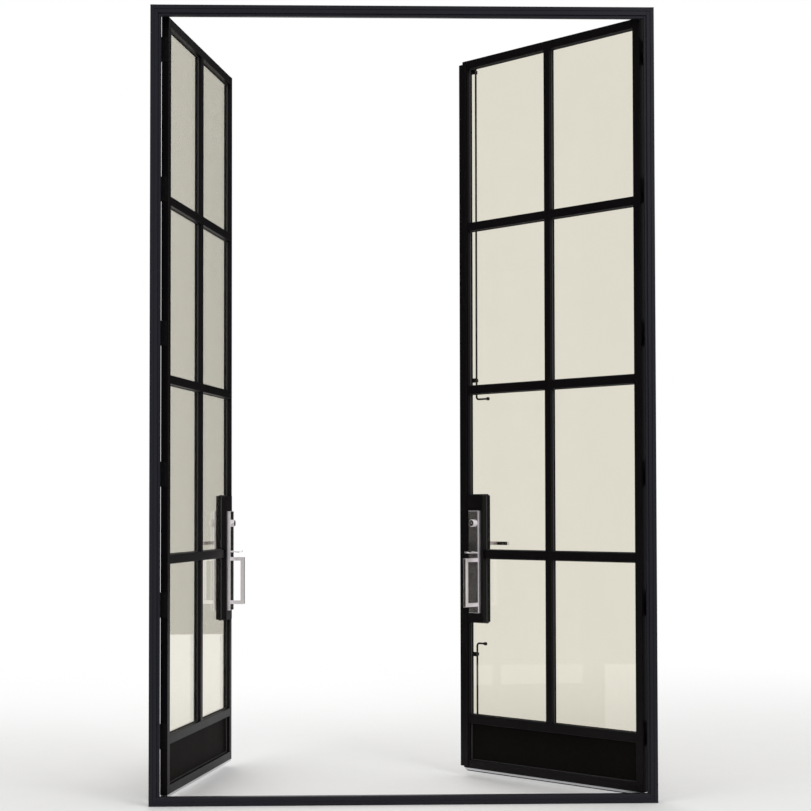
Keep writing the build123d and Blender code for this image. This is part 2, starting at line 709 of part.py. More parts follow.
def deadbolt():
    """Square deadbolt, flush with the leaf's edge when it is drawn back."""
    with BuildPart(LEAF[LEFT]) as piece:
        y = (MID_Y - DEAD_Y / 2, MID_Y + DEAD_Y / 2)
        z = (CYL_Z - DEAD_Z / 2, CYL_Z + DEAD_Z / 2)
        leaf_block(LEFT, (SET_S + DEAD_BED + DEAD_REST, LOCK_EDGE), y, z)
    save(piece, "left_deadbolt")


# Entrance sets
def plate(side, back, thick, holes, slots):
    """Plate on the lock box from depth back, drilled and slotted for the trim."""
    half = PLATE_W / 2
    with BuildSketch(face_plane(side, back)) as outline:
        patch((side * (SET_S - half), side * (SET_S + half)), (PLATE_Z0, PLATE_Z1))
        for z, radius in holes:
            with Locations((side * SET_S, z)):
                Circle(radius, mode=Mode.SUBTRACT)
        for z, wide, high in slots:
            with Locations((side * SET_S, z)):
                Rectangle(wide, high, mode=Mode.SUBTRACT)
    extrude(outline.sketch, amount=thick)


def entrance_plates(side):
    """Thick plates on both faces of the lock box, with eased edges."""
    with BuildPart() as piece:
        slot = (THUMB_Z, THUMB_SLOT_W, THUMB_SLOT_H)
        plate(side, PAD_OUT, PLATE_D, [(CYL_Z, CYL_BODY_R + CYL_FIT)], [slot])
        straight = exterior_face(piece, side).edges().filter_by(GeomType.LINE)
        rim = straight.filter_by(lambda edge: edge.length > THUMB_SLOT_W)
        chamfer(rim, PLATE_EASE)
    save(piece, f"{SIDE_NAME[side]}_exterior_plate")
    with BuildPart() as piece:
        plate(side, PAD_IN, -PLATE_D, interior_holes(side), [])
        rim = interior_face(piece, side).edges().filter_by(GeomType.LINE)
        chamfer(rim, PLATE_EASE)
    save(piece, f"{SIDE_NAME[side]}_interior_plate")


def pull(side):
    """Square D-shaped pull: one bent bar standing on the exterior plate."""
    out = FRONT_Y - PULL_OUT
    with BuildPart() as piece:
        with BuildSketch(side_plane(side, SET_S)) as bend:
            patch((out, FRONT_Y), (PULL_Z0, PULL_Z1))
            gap_z = (PULL_Z0 + PULL_BAR, PULL_Z1 - PULL_BAR)
            patch((out + PULL_BAR, FRONT_Y), gap_z, Mode.SUBTRACT)
        extrude(bend.sketch, amount=PULL_BAR / 2, both=True)
        fillet(exterior_face(piece, side).edges(), PULL_EASE)
    save(piece, f"{SIDE_NAME[side]}_pull")


def thumb_piece(side):
    """Thumb piece: a tail in the plate's slot, and a dished spoon at the end of a neck."""
    tip = FRONT_Y - THUMB_OUT
    neck, heel, tail = FRONT_Y - THUMB_NECK, FRONT_Y - THUMB_HEEL, FRONT_Y + THUMB_TAIL
    low, high = THUMB_Z - THUMB_T / 2, THUMB_Z + THUMB_T / 2
    foot, top = THUMB_Z - THUMB_TAIL_H / 2, THUMB_Z + THUMB_TAIL_H / 2
    bow = tip + THUMB_BOW
    with BuildPart() as piece:
        with BuildSketch(side_plane(side, SET_S)) as profile:
            with BuildLine():
                Polyline((neck, high), (heel, top), (tail, top), (tail, foot), (heel, foot), (neck, low))
                ThreePointArc((neck, low), (bow, low - THUMB_DISH), (tip, low + THUMB_RISE))
                Line((tip, low + THUMB_RISE), (tip, high + THUMB_RISE))
                ThreePointArc((tip, high + THUMB_RISE), (bow, high - THUMB_DISH), (neck, high))
            make_face()
        extrude(profile.sketch, amount=THUMB_R, both=True)
        with BuildSketch(LEAF[side].offset(THUMB_Z - THUMB_R)) as outline:
            with Locations((side * SET_S, tip + THUMB_R)):
                Circle(THUMB_R)
            for half, y in ((THUMB_NECK_W / 2, (tip + THUMB_R, heel)),
                            (THUMB_SLOT_W / 2 - THUMB_FIT, (FRONT_Y - THUMB_TAIL, tail))):
                patch((side * (SET_S - half), side * (SET_S + half)), y)
        extrude(outline.sketch, amount=2 * THUMB_R, mode=Mode.INTERSECT)
    save(piece, f"{SIDE_NAME[side]}_thumb_piece")


def keyway(side, y):
    """Cuts the key's slot between two depths."""
    s = (SET_S - KEY_W / 2, SET_S + KEY_W / 2)
    leaf_block(side, s, y, (CYL_Z - KEY_H / 2, CYL_Z + KEY_H / 2), Mode.SUBTRACT)


def cylinder(side):
    """Key cylinder: a collar on the plate and the body in its bore."""
    face = FRONT_Y - CYL_OUT
    with BuildPart(LEAF[side]) as piece:
        leaf_round(side, SET_S, (face, FRONT_Y), CYL_Z, CYL_R)
        rim = piece.faces().sort_by(Axis((0, 0, 0), -LEAF[side].y_dir))[-1].edges()
        chamfer(rim, CYL_EASE)
        leaf_round(side, SET_S, (FRONT_Y, OUTER_Y - CYL_BODY_END), CYL_Z, CYL_BODY_R)
        if side == LEFT:
            bore_y = (face - CUT, FRONT_Y + PLUG_END + PLUG_REST)
            leaf_round(side, SET_S, bore_y, CYL_Z, PLUG_R + RUN_FIT, Mode.SUBTRACT)
        else:
            keyway(side, (face - CUT, face + DUMMY_KEY_DEPTH))
    save(piece, f"{SIDE_NAME[side]}_cylinder")


def key_plug():
    """Plug of the active leaf's cylinder, with the key's slot in its face."""
    face = FRONT_Y - CYL_OUT
    with BuildPart(LEAF[LEFT]) as piece:
        leaf_round(LEFT, SET_S, (face, FRONT_Y + PLUG_END), CYL_Z, PLUG_R)
        keyway(LEFT, (face - CUT, face + KEY_DEPTH))
    save(piece, "left_key_plug")


def thumbturn():
    """Interior thumbturn that throws the deadbolt."""
    with BuildPart(LEAF[LEFT]) as piece:
        leaf_round(LEFT, SET_S, (INNER_Y + STEM_END, BACK_Y), CYL_Z, TURN_STEM_R)
        leaf_round(LEFT, SET_S, (BACK_Y, BACK_Y + ROSE_T), CYL_Z, ROSE_R)
        grip_s = (SET_S - GRIP_W / 2, SET_S + GRIP_W / 2)
        grip_y = (BACK_Y + ROSE_T, BACK_Y + ROSE_T + GRIP_OUT)
        leaf_block(LEFT, grip_s, grip_y, (CYL_Z - GRIP_H / 2, CYL_Z + GRIP_H / 2))
        outer = piece.faces().sort_by(Axis((0, 0, 0), LEAF[LEFT].y_dir))[-1]
        chamfer(outer.edges(), GRIP_EASE)
    save(piece, "left_thumbturn")


def lever(side):
    """Interior lever pointing at the hinge side, on a round stem."""
    with BuildPart(LEAF[side]) as piece:
        leaf_round(side, SET_S, (INNER_Y + STEM_END, BACK_Y + LEVER_GAP), LEVER_Z, STEM_R)
        arm_y = (BACK_Y + LEVER_GAP, BACK_Y + LEVER_GAP + LEVER_BAR)
        half = LEVER_BAR / 2
        arm_s = (SET_S - LEVER_LEN, SET_S + STEM_R + LEVER_HEEL)
        leaf_block(side, arm_s, arm_y, (LEVER_Z - half, LEVER_Z + half))
        outer = piece.faces().sort_by(Axis((0, 0, 0), LEAF[side].y_dir))[-1]
        chamfer(outer.edges(), LEVER_EASE)
    save(piece, f"{SIDE_NAME[side]}_lever")


# Astragal and surface bolts
def astragal():
    """Flat bar on the right leaf that laps over the joint, relieved over the left leaf."""
    front = OUTER_Y - ASTRAGAL_T
    near, edge, far = LOCK_EDGE - ASTRAGAL_IN, LOCK_EDGE, LOCK_EDGE + ASTRAGAL_OUT
    relief = OUTER_Y - ASTRAGAL_RELIEF
    with BuildPart() as piece:
        with BuildSketch(LEAF[RIGHT].offset(LEAF_Z0 + ASTRAGAL_UP)) as section:
            with BuildLine():
                Polyline(
                    (-near, front), (-far, front), (-far, relief), (-edge, relief),
                    (-edge, OUTER_Y), (-near, OUTER_Y), close=True)
            make_face()
            chamfer(section.vertices().group_by(Axis.Y)[0], ARRIS)
        extrude(section.sketch, amount=LEAF_Z1 - ASTRAGAL_DOWN - LEAF_Z0 - ASTRAGAL_UP)
    save(piece, "right_astragal")


def surface_bolt(name, end_z, bend_z, arm):
    """Round bolt along the lock stile with its end bent into a handle and a turned knob on it."""
    plane = face_plane(RIGHT, 0)
    with BuildPart() as piece:
        with BuildLine(plane) as path:
            FilletPolyline(
                (-ROD_S, end_z), (-ROD_S, bend_z), (-ROD_S + arm, bend_z), radius=BEND_R)
        rod = path.wires()[0]
        with BuildSketch(Plane(origin=rod @ 0, z_dir=rod % 0)):
            Circle(ROD_R)
        sweep(path=rod)
        with BuildSketch(Plane(origin=rod @ 1, z_dir=rod % 1)) as knob:
            Circle(KNOB_R)
        extrude(knob.sketch, amount=KNOB_L / 2, both=True)
        circles = piece.edges().filter_by(GeomType.CIRCLE)
        chamfer(circles.filter_by(lambda edge: abs(edge.radius - KNOB_R) < RUN_FIT), KNOB_EASE)
    save(piece, name)


def bolt_guides():
    """Guides of the surface bolts: a foot on the stile and a bored eye for the bolt."""
    with BuildPart() as piece:
        for z in GUIDE_Z:
            with BuildSketch(LEAF[RIGHT].offset(z - FOOT_H / 2)) as foot:
                patch((-ROD_S + EYE_R, -LOCK_EDGE + FOOT_IN), (INNER_Y, INNER_Y + FOOT_T))
            extrude(foot.sketch, amount=FOOT_H)
            with BuildSketch(LEAF[RIGHT].offset(z - EYE_H / 2)) as eye:
                patch((-ROD_S - EYE_R, -ROD_S + EYE_R), (INNER_Y, EYE_R))
                chamfer(eye.vertices().group_by(Axis.Y)[-1], EYE_EASE)
                with Locations((-ROD_S, 0)):
                    Circle(ROD_R + RUN_FIT, mode=Mode.SUBTRACT)
            extrude(eye.sketch, amount=EYE_H)
    save(piece, "right_bolt_guides")


for side in SIDES:
    jamb(side)
frame_head()
threshold()
frame_seals()
bolt_keepers()
hinge_frame_leaves()
hinge_pins()

for side in SIDES:
    hinge_door_leaves(side)
    hinge_stile(side)
    lock_stile(side)
    rails(side)
    mullion(side)
    muntins(side)
    panes(side)
    kick_panel(side)
    glazing_beads(side)
    sweep_strip(side)
    lock_box(side)
    edge_plate(side)
    entrance_plates(side)
    pull(side)
    thumb_piece(side)
    cylinder(side)
    lever(side)

latch_bolt()
deadbolt()
key_plug()
thumbturn()
astragal()
surface_bolt("right_top_bolt", LEAF_Z1 - TOP_END_DOWN, TOP_BEND_Z, TOP_ARM)
surface_bolt("right_bottom_bolt", LEAF_Z0, LEAF_Z0 + BOTTOM_BEND_UP, BOTTOM_ARM)
bolt_guides()
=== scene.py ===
"""Steel french doors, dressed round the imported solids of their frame, leaves and locks.

Laid out as a Blender add-on and run as a script. Lengths are metres in the frame's own axes:
X to the right seen from the exterior, Y into the room, Z up.
"""
import json
import math

import bmesh
import bpy
from bpy.props import FloatProperty, FloatVectorProperty, IntProperty, PointerProperty
from mathutils import Matrix, Vector


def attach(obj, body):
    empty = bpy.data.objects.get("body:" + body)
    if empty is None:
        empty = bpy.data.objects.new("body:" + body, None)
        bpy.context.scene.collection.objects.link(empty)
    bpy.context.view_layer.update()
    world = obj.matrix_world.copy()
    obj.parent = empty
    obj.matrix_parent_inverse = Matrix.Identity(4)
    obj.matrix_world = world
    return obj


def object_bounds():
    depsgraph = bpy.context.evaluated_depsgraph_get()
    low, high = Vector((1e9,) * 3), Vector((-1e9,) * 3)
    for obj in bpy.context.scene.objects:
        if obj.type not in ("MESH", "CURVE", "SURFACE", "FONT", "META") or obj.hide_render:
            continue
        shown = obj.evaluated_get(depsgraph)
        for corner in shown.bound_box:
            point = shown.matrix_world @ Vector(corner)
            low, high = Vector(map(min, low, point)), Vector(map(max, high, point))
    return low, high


bl_info = {
    "name": "Steel French Doors",
    "version": (1, 0, 0),
    "blender": (4, 5, 0),
    "location": "3D View > Sidebar > French Doors",
    "description": "Paints, glazes and fixes a pair of slim steel french doors",
    "category": "Object",
}

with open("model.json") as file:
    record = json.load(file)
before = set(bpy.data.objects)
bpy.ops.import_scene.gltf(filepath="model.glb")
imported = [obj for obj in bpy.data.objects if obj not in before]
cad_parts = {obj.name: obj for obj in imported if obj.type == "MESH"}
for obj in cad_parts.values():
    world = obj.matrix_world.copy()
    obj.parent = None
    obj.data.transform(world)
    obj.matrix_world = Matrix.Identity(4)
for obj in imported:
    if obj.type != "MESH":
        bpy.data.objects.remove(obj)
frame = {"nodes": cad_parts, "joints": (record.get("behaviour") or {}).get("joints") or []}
CAD_LOW, CAD_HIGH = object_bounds()

NODES = frame["nodes"]
HINGES = {
    joint["child"]: joint for joint in frame["joints"] if joint["name"].endswith("leaf_hinge")}
LEAVES = ("left_leaf", "right_leaf")
MIRROR = {"left_leaf": 1, "right_leaf": -1}  # the way each shut leaf runs from its hinges

# Camera
IMAGE_SIDE = 811  # pixels
SENSOR = 36.0  # millimetres
CLIP = (0.1, 200.0)

# Finishes. Each gloss is in shares of the leaves' paint gloss.
FRAME_GLOSS = 2.0
PANEL_GLOSS = 0.1
STEEL_GLOSS = 2.0
PANEL_DULLER = 0.08  # roughness that the kick panels have besides
DUST_FILM = 0.35  # share of the dust that lies between its specks
HAZE_MOST = 0.022  # share of a pane's haze where it is thickest
HEAD_ON_MIRROR = 0.04  # share of light that glass mirrors when seen square on
GRAZING_POWER = 5.0  # how suddenly it mirrors more at a grazing angle
FILM = (0.62, 0.60, 0.56)  # colour of its haze
CLOTH = ((0.010, 0.010, 0.010), (0.016, 0.015, 0.014))  # darkest and lightest black of a flag

# Reading the solids' meshes
GRID = 1e5  # steps per metre that corners are rounded to
FLAT = 2e-5  # how far the corners of a flat side may stray from its depth
WELD = 1e-6  # corners this close are one
SQUARE_ON = 0.999  # cosine from which a face looks along an axis

# Screw heads, with their lengths in shares of a head's radius
SCREW_STEPS = 24  # corners round a head
SCREW_SPIN = 37.0  # degrees that each recess is turned from the one before
CROSS_ARM = 0.60
CROSS_HALF = 0.15  # half the width of an arm
CROSS_DEPTH = 0.45
CROSS_TAPER = 0.7  # width of the cross at its foot, in widths at its top
DOME = 0.10
DOME_RIM = (0.80, 0.7)  # a ring on the dome: its radius, and its height in domes
HEAD_FOOT = 0.85

# Places of the screws
PLATE_SCREW_IN = 0.014  # from the ends of an interior plate
EDGE_SCREW_IN = 0.012  # from the ends of the faceplate and the strike plate
GUIDE_SCREW_IN = 0.007  # from the side of a bolt guide
GUIDE_SCREW_PITCH = 0.013
KEEPER_SCREW_OUT = 0.0085  # from the middle of a keeper
HINGE_SCREW_RISES = (-0.38, -0.14, 0.14, 0.38)  # in heights of the plate, from its middle
HINGE_SCREW_DEPTHS = (0.62, 0.32)  # in depths of the plate, by turns

# Glazing
GLASS_BITE = 0.006  # how far a pane reaches under its bars
BEAD_MIDDLE = 0.002  # from the edge of a pane in to its beads' middle
BEAD_END = 0.045  # from the end of a bead to its first screw
SHORT_BEAD = 0.100  # a bead below this length has no screws
SEALANT_HOLLOW = 0.38  # height of the fillet's middle, in legs

# Bead along the frame's stop
LIP_BACK = 0.005  # from the frame's own axes out to its back
LIP_DEPTH = 0.018
LIP_EASE = 0.001  # bevel of its two free corners
LIP_BITE = 0.0003  # how far it reaches into the stop

# Studio. Lamps: place, side, share of the main lamp's power, whether mirrors see it.
# Flags, which only mirrors see: place, the way it faces, width, height.
LAMPS = {
    "key": ((4.4, -5.2, 4.4), 3.2, 1.0, True),
    "fill": ((-4.2, -4.2, 2.6), 3.0, 0.45, False),
    "room": ((-1.2, 5.6, 4.0), 3.4, 0.7, False),
}
FLAGS = {
    "side": ((-4.6, -0.3, 2.9), (1, 0, 0), 8.0, 6.2),
    "room": ((3.4, 7.5, 2.9), (-0.4, -0.9, 0), 7.0, 6.2),
}
WHITE = (1.0, 1.0, 1.0)
SKY = (1.0, 0.995, 0.985)
SKY_STRENGTH = 0.62
FLOOR_CELLS = 24
FLOOR_HALF = 30.0
FLOOR_DROP = 0.0005  # below the threshold, so that the two never flicker
FLOOR_WHITENS = (1.2, 6.0)  # from and up to these distances from the middle


# Settings that a user may change
def colour(name, description, default):
    """A colour setting."""
    return FloatVectorProperty(
        name=name, description=description, default=default, subtype="COLOR", size=3, min=0, max=1)


def length(name, description, default):
    """A length setting, in metres."""
    return FloatProperty(
        name=name, description=description, default=default, unit="LENGTH", precision=4, min=0)


def share(name, description, default):
    """A setting between 0 and 1."""
    return FloatProperty(
        name=name, description=description, default=default, subtype="FACTOR", min=0, max=1)


class DoorFinishes(bpy.types.PropertyGroup):
    """Colours and sheens of the doors' finishes."""

    frame_paint: colour(
        "Frame paint", "Satin black of the frame and threshold", (0.0058, 0.0060, 0.0105))
    leaf_paint: colour(
        "Leaf paint", "Satin black of the bars and lock boxes", (0.0042, 0.0033, 0.0040))
    panel_paint: colour(
        "Panel paint", "Brown-black of the kick panels", (0.0050, 0.0040, 0.0038))
    hinge_steel: colour(
        "Hinge steel", "Blackened steel of hinges, bolts and keepers", (0.0070, 0.0062, 0.0070))
    dust: colour(
        "Dust", "Pale dust that settles low on the paint", (0.1000, 0.0900, 0.0780))
    nickel: colour(
        "Nickel", "Polished nickel of plates, pulls and levers", (0.8300, 0.7950, 0.8250))
    aluminium: colour(
        "Aluminium", "Mill finish of the sweep carriers", (0.7600, 0.7700, 0.8000))
    rubber: colour(
        "Rubber", "Black of the seals, blades and glazing sealant", (0.0110, 0.0110, 0.0120))
    glass: colour(
        "Glass", "What one face of a pane lets through", (0.8900, 0.8720, 0.8100))
    paint_sheen: share("Paint roughness", "Roughness of the satin paint before its variation", 0.34)
    nickel_sheen: share("Nickel roughness", "Roughness of the polished fronts", 0.13)
    nickel_flank: share("Nickel flanks", "Roughness that the brushed flanks have besides", 0.36)
    steel_sheen: share("Steel roughness", "Roughness of the blackened steel", 0.36)
    paint_gloss: share(
        "Paint gloss", "How strongly the leaves' paint mirrors, half being plain lacquer", 0.09)


class DoorFittings(bpy.types.PropertyGroup):
    """Sizes of the small fittings that the solids leave out."""

    hinge_screw: length("Hinge screw", "Radius of the screw heads in the hinge plates", 0.0042)
    bead_screw: length("Bead screw", "Radius of the screw heads in the glazing beads", 0.0022)
    plate_screw: length("Plate screw", "Radius of the screw heads in the interior plates", 0.0040)
    edge_screw: length("Edge screw", "Radius of the screw heads in faceplate and strike", 0.0036)
    guide_screw: length(
        "Guide screw", "Radius of the screw heads in bolt guides and keepers", 0.0024)
    bead_pitch: length("Bead pitch", "Widest spacing between two screws of a glazing bead", 0.3000)
    sealant: length("Sealant", "Leg of the sealant fillet between glass and steel", 0.0035)
    stop_lip: length(
        "Stop lip", "Width of the slim bead along the edge of the frame's stop", 0.0100)


class DoorStage(bpy.types.PropertyGroup):
    """Camera, lamps and floor of the studio."""

    camera_place: FloatVectorProperty(
        name="Camera", description="Place of the camera", default=(0.0156, -6.3239, 1.1087),
        subtype="TRANSLATION", size=3)
    camera_yaw: FloatProperty(
        name="Yaw", description="Turn of the camera about Z", default=math.radians(-1.593),
        subtype="ANGLE")
    camera_pitch: FloatProperty(
        name="Pitch", description="Tilt of the camera above the horizon",
        default=math.radians(1.548), subtype="ANGLE")
    camera_roll: FloatProperty(
        name="Roll", description="Turn of the camera about its own axis",
        default=math.radians(-0.144), subtype="ANGLE")
    focal_pixels: FloatProperty(
        name="Focal length", description="Focal length in image pixels", default=1673.96,
        subtype="PIXEL")
    centre_x: FloatProperty(
        name="Centre X", description="Column of the image that the optical axis meets",
        default=454.55, subtype="PIXEL")
    centre_y: FloatProperty(
        name="Centre Y", description="Row of the image that the optical axis meets",
        default=462.79, subtype="PIXEL")
    floor_colour: colour("Floor", "Pale colour of the floor", (0.93, 0.93, 0.93))
    lamp_power: IntProperty(
        name="Lamp power", description="Power of the main lamp in watts", default=170, min=0,
        subtype="POWER")


# Shader nodes
class Signal:
    """Output of a shader node. Arithmetic on it adds the Math nodes that work it out."""

    def __init__(self, finish, socket):
        self.finish = finish
        self.socket = socket

    def join(self, operation, *values):
        """A Math node with these inputs."""
        return self.finish.add("ShaderNodeMath", {"operation": operation}, dict(enumerate(values)))

    def __add__(self, other):
        return self.join("ADD", self, other)

    def __radd__(self, other):
        return self.join("ADD", other, self)

    def __sub__(self, other):
        return self.join("SUBTRACT", self, other)

    def __mul__(self, other):
        return self.join("MULTIPLY", self, other)

    def __rmul__(self, other):
        return self.join("MULTIPLY", other, self)

    def __pow__(self, other):
        return self.join("POWER", self, other)


class Finish:
    """A material under construction and the patterns that its surface is made of."""

    def __init__(self, name):
        self.material = bpy.data.materials.new(name)
        self.material.use_nodes = True
        self.start(self.material.node_tree)
        self.place = self.add("ShaderNodeTexCoord", output="Object")

    @classmethod
    def on(cls, tree):
        """Nodes built straight into a tree that exists, such as the world's."""
        bare = cls.__new__(cls)
        bare.start(tree)
        return bare

    def start(self, tree):
        """Empties a node tree to build in."""
        self.tree = tree
        self.tree.nodes.clear()

    def add(self, kind, settings=None, sockets=None, output=0):
        """Adds a node with its settings, then its sockets' values or links; gives one output."""
        node = self.tree.nodes.new(kind)
        for key, value in (settings or {}).items():
            setattr(node, key, value)
        for key, value in (sockets or {}).items():
            if isinstance(value, Signal):
                self.tree.links.new(value.socket, node.inputs[key])
            else:
                node.inputs[key].default_value = value
        return Signal(self, node.outputs[output])

    def stretched(self, along):
        """Coordinates scaled by a factor on each axis."""
        return self.add("ShaderNodeMapping", sockets={"Vector": self.place, "Scale": along})

    def noise(self, scale, detail=2.0, roughness=0.5, place=None):
        """Grey noise with scale clouds to a metre, in the object's axes or in stretched ones."""
        return self.add(
            "ShaderNodeTexNoise", sockets={
                "Vector": place or self.place, "Scale": scale, "Detail": detail,
                "Roughness": roughness})

    def ramp(self, value, low, high, start=0.0, end=1.0):
        """value mapped from low..high to start..end and held there beyond."""
        return self.add(
            "ShaderNodeMapRange", {"clamp": True, "interpolation_type": "SMOOTHSTEP"},
            {"Value": value, "From Min": low, "From Max": high, "To Min": start, "To Max": end})

    def height(self):
        """Height above the floor at rest."""
        return self.add("ShaderNodeSeparateXYZ", sockets={0: self.place}, output="Z")

    def blend(self, factor, first, second):
        """Colour between two colours."""
        pair = {6: rgba(first), 7: rgba(second)}
        return self.add("ShaderNodeMix", {"data_type": "RGBA"}, {0: factor, **pair}, output=2)

    def bump(self, relief, depth, strength=1.0, below=None):
        """A normal raised by a relief, on top of another bump if there is one below."""
        sockets = {"Height": relief, "Distance": depth, "Strength": strength}
        if below:
            sockets["Normal"] = below
        return self.add("ShaderNodeBump", sockets=sockets)

    def surface(self, sockets):
        """Closes the material with a Principled shader."""
        return self.closed(self.add("ShaderNodeBsdfPrincipled", sockets=sockets))

    def closed(self, shader):
        """Closes the material with the shader given."""
        self.add_output(shader)
        return self.material

    def add_output(self, shader, kind="ShaderNodeOutputMaterial"):
        """Leads a shader to the output of the tree."""
        node = self.tree.nodes.new(kind)
        self.tree.links.new(shader.socket, node.inputs["Surface"])


def rgba(value):
    """A colour for a socket: signals pass, three numbers gain an alpha."""
    return value if isinstance(value, Signal) else (*value, 1.0)


def scaled(value, by):
    """A colour made darker or lighter."""
    return tuple(channel * by for channel in value)


# Finishes
def satin_paint(name, base, sheen, gloss, dust, dust_height=0.45, dust_most=0.06):
    """Satin paint on steel: soft mottling, an orange-peel skin and a little dust low down."""
    finish = Finish(name)
    mottle = finish.noise(scale=3.1, detail=4.0, roughness=0.6)
    skin = finish.noise(scale=620.0, roughness=0.55)
    upright = finish.stretched((1.0, 1.0, 0.08))
    drag = finish.noise(scale=38.0, detail=3.0, roughness=0.6, place=upright)
    painted = finish.blend(mottle, scaled(base, by=0.72), scaled(base, by=1.35))
    low = finish.ramp(finish.height(), low=0.0, high=dust_height, start=1.0, end=0.0)
    grit = finish.noise(scale=95.0, detail=5.0, roughness=0.7)
    specks = finish.ramp(grit, low=0.42, high=0.72)
    settled = low * (DUST_FILM + specks * (1.0 - DUST_FILM)) * dust_most
    dusty = finish.blend(settled, painted, dust)
    roughness = sheen - 0.05 + mottle * 0.10 + drag * 0.06 + settled * 1.2
    peel = finish.bump(skin, depth=0.00012, strength=0.35)
    relief = finish.bump(drag, depth=0.0004, strength=0.25, below=peel)
    return finish.surface({
        "Base Color": dusty, "Roughness": roughness, "Normal": relief,
        "Specular IOR Level": gloss})


def blackened_steel(name, base, sheen, gloss):
    """Blackened steel with a faint turned grain and worn, slightly brighter patches."""
    finish = Finish(name)
    turned = finish.stretched((1.0, 1.0, 3.0))
    grain = finish.noise(scale=260.0, detail=3.0, roughness=0.65, place=turned)
    patches = finish.noise(scale=21.0, detail=4.0, roughness=0.6)
    worn = finish.ramp(patches, low=0.56, high=0.74)
    tone = finish.blend(worn * 0.5, scaled(base, by=0.85), scaled(base, by=2.4))
    return finish.surface({
        "Base Color": tone, "Metallic": worn * 0.45, "Roughness": sheen + grain * 0.16 - 0.06,
        "Normal": finish.bump(grain, depth=0.0001, strength=0.3), "Specular IOR Level": gloss})


def polished_nickel(name, base, sheen, flank, front):
    """Nickel with polished fronts and brushed flanks, hairline marks, smudges and dull spots."""
    finish = Finish(name)
    straight = finish.add("ShaderNodeVectorMath", {"operation": "DOT_PRODUCT"}, {
        0: finish.add("ShaderNodeTexCoord", output="Normal"), 1: front}, output="Value")
    brushed = finish.ramp(
        straight.join("ABSOLUTE", straight), low=0.45, high=0.95, start=flank, end=0.0)
    hairlines = finish.noise(scale=900.0, place=finish.stretched((1.0, 1.0, 0.03)))
    clouds = finish.noise(scale=34.0, detail=4.0, roughness=0.62)
    smudge = finish.ramp(clouds, low=0.45, high=0.75)
    spots = finish.ramp(finish.noise(scale=310.0), low=0.66, high=0.74)
    tone = finish.blend(smudge * 0.6, base, scaled(base, by=0.86))
    return finish.surface({
        "Base Color": tone, "Metallic": 1.0,
        "Roughness": brushed + sheen - 0.02 + smudge * 0.06 + spots * 0.04 + hairlines * 0.03,
        "Normal": finish.bump(hairlines, depth=0.00003, strength=0.05)})


def mill_aluminium(name, base):
    """Extruded aluminium: die lines along the strip and a soft grey bloom."""
    finish = Finish(name)
    bloom = finish.noise(scale=26.0, detail=4.0, roughness=0.6)
    lines = finish.noise(scale=1400.0, place=finish.stretched((0.02, 0.02, 1.0)))
    tone = finish.blend(bloom, scaled(base, by=0.82), base)
    return finish.surface({
        "Base Color": tone, "Metallic": 1.0, "Roughness": 0.26 + bloom * 0.12 + lines * 0.06,
        "Normal": finish.bump(lines, depth=0.00004, strength=0.4)})


def black_rubber(name, base):
    """Extruded rubber with a fine pebbled skin and a dusty bloom."""
    finish = Finish(name)
    skin = finish.noise(scale=1100.0, detail=3.0, roughness=0.6)
    clouds = finish.noise(scale=48.0, detail=4.0, roughness=0.65)
    bloom = finish.ramp(clouds, low=0.40, high=0.80)
    tone = finish.blend(bloom, base, scaled(base, by=2.6))
    return finish.surface({
        "Base Color": tone, "Roughness": 0.62 + bloom * 0.18,
        "Normal": finish.bump(skin, depth=0.00008, strength=0.5)})


def clear_glass(name, tint):
    """Clear glass with a slight tint and a thin haze, which mirrors most at a grazing angle."""
    finish = Finish(name)
    clouds = finish.noise(scale=5.0, detail=5.0, roughness=0.65)
    haze = finish.ramp(clouds, low=0.35, high=0.85)
    waves = finish.noise(scale=2.6, detail=1.0, roughness=0.4)
    ripple = finish.bump(waves, depth=0.0012, strength=0.03)
    grazing = finish.add("ShaderNodeLayerWeight", output="Facing")
    mirror = HEAD_ON_MIRROR + (1.0 - HEAD_ON_MIRROR) * grazing ** GRAZING_POWER
    passed = finish.add("ShaderNodeBsdfTransparent", sockets={"Color": rgba(tint)})
    shine = finish.add("ShaderNodeBsdfGlossy", sockets={
        "Color": rgba(WHITE), "Roughness": 0.02, "Normal": ripple})
    film = finish.add("ShaderNodeBsdfDiffuse", sockets={"Color": rgba(FILM)})
    clean = finish.add("ShaderNodeMixShader", sockets={0: mirror, 1: passed, 2: shine})
    dusty = finish.add("ShaderNodeMixShader", sockets={0: haze * HAZE_MOST, 1: clean, 2: film})
    return finish.closed(dusty)


def wear(objects, material):
    """Gives each object that one finish."""
    for item in objects:
        item.data.materials.clear()
        item.data.materials.append(material)


def named(*endings):
    """The CAD nodes whose names end with one of these words."""
    found = [NODES[name] for name in sorted(NODES) if name.endswith(endings)]
    if not found:
        raise RuntimeError(f"no CAD node ends with {endings}")
    return found


# Places on the leaves and the frame
def leaf_matrix(leaf):
    """From a leaf's own axes, its length, y into the room and z up, to the frame's."""
    joint = HINGES[leaf]
    opened = -MIRROR[leaf] * math.radians(joint["range_deg"][0])
    return Matrix.Translation(joint["pos_m"]) @ Matrix.Rotation(opened, 4, "Z")


def leaf_solids(node, leaf):
    """Each solid of a CAD node on a leaf, in the leaf's own axes."""
    return solids_of(NODES[node].data, leaf_matrix(leaf).inverted())


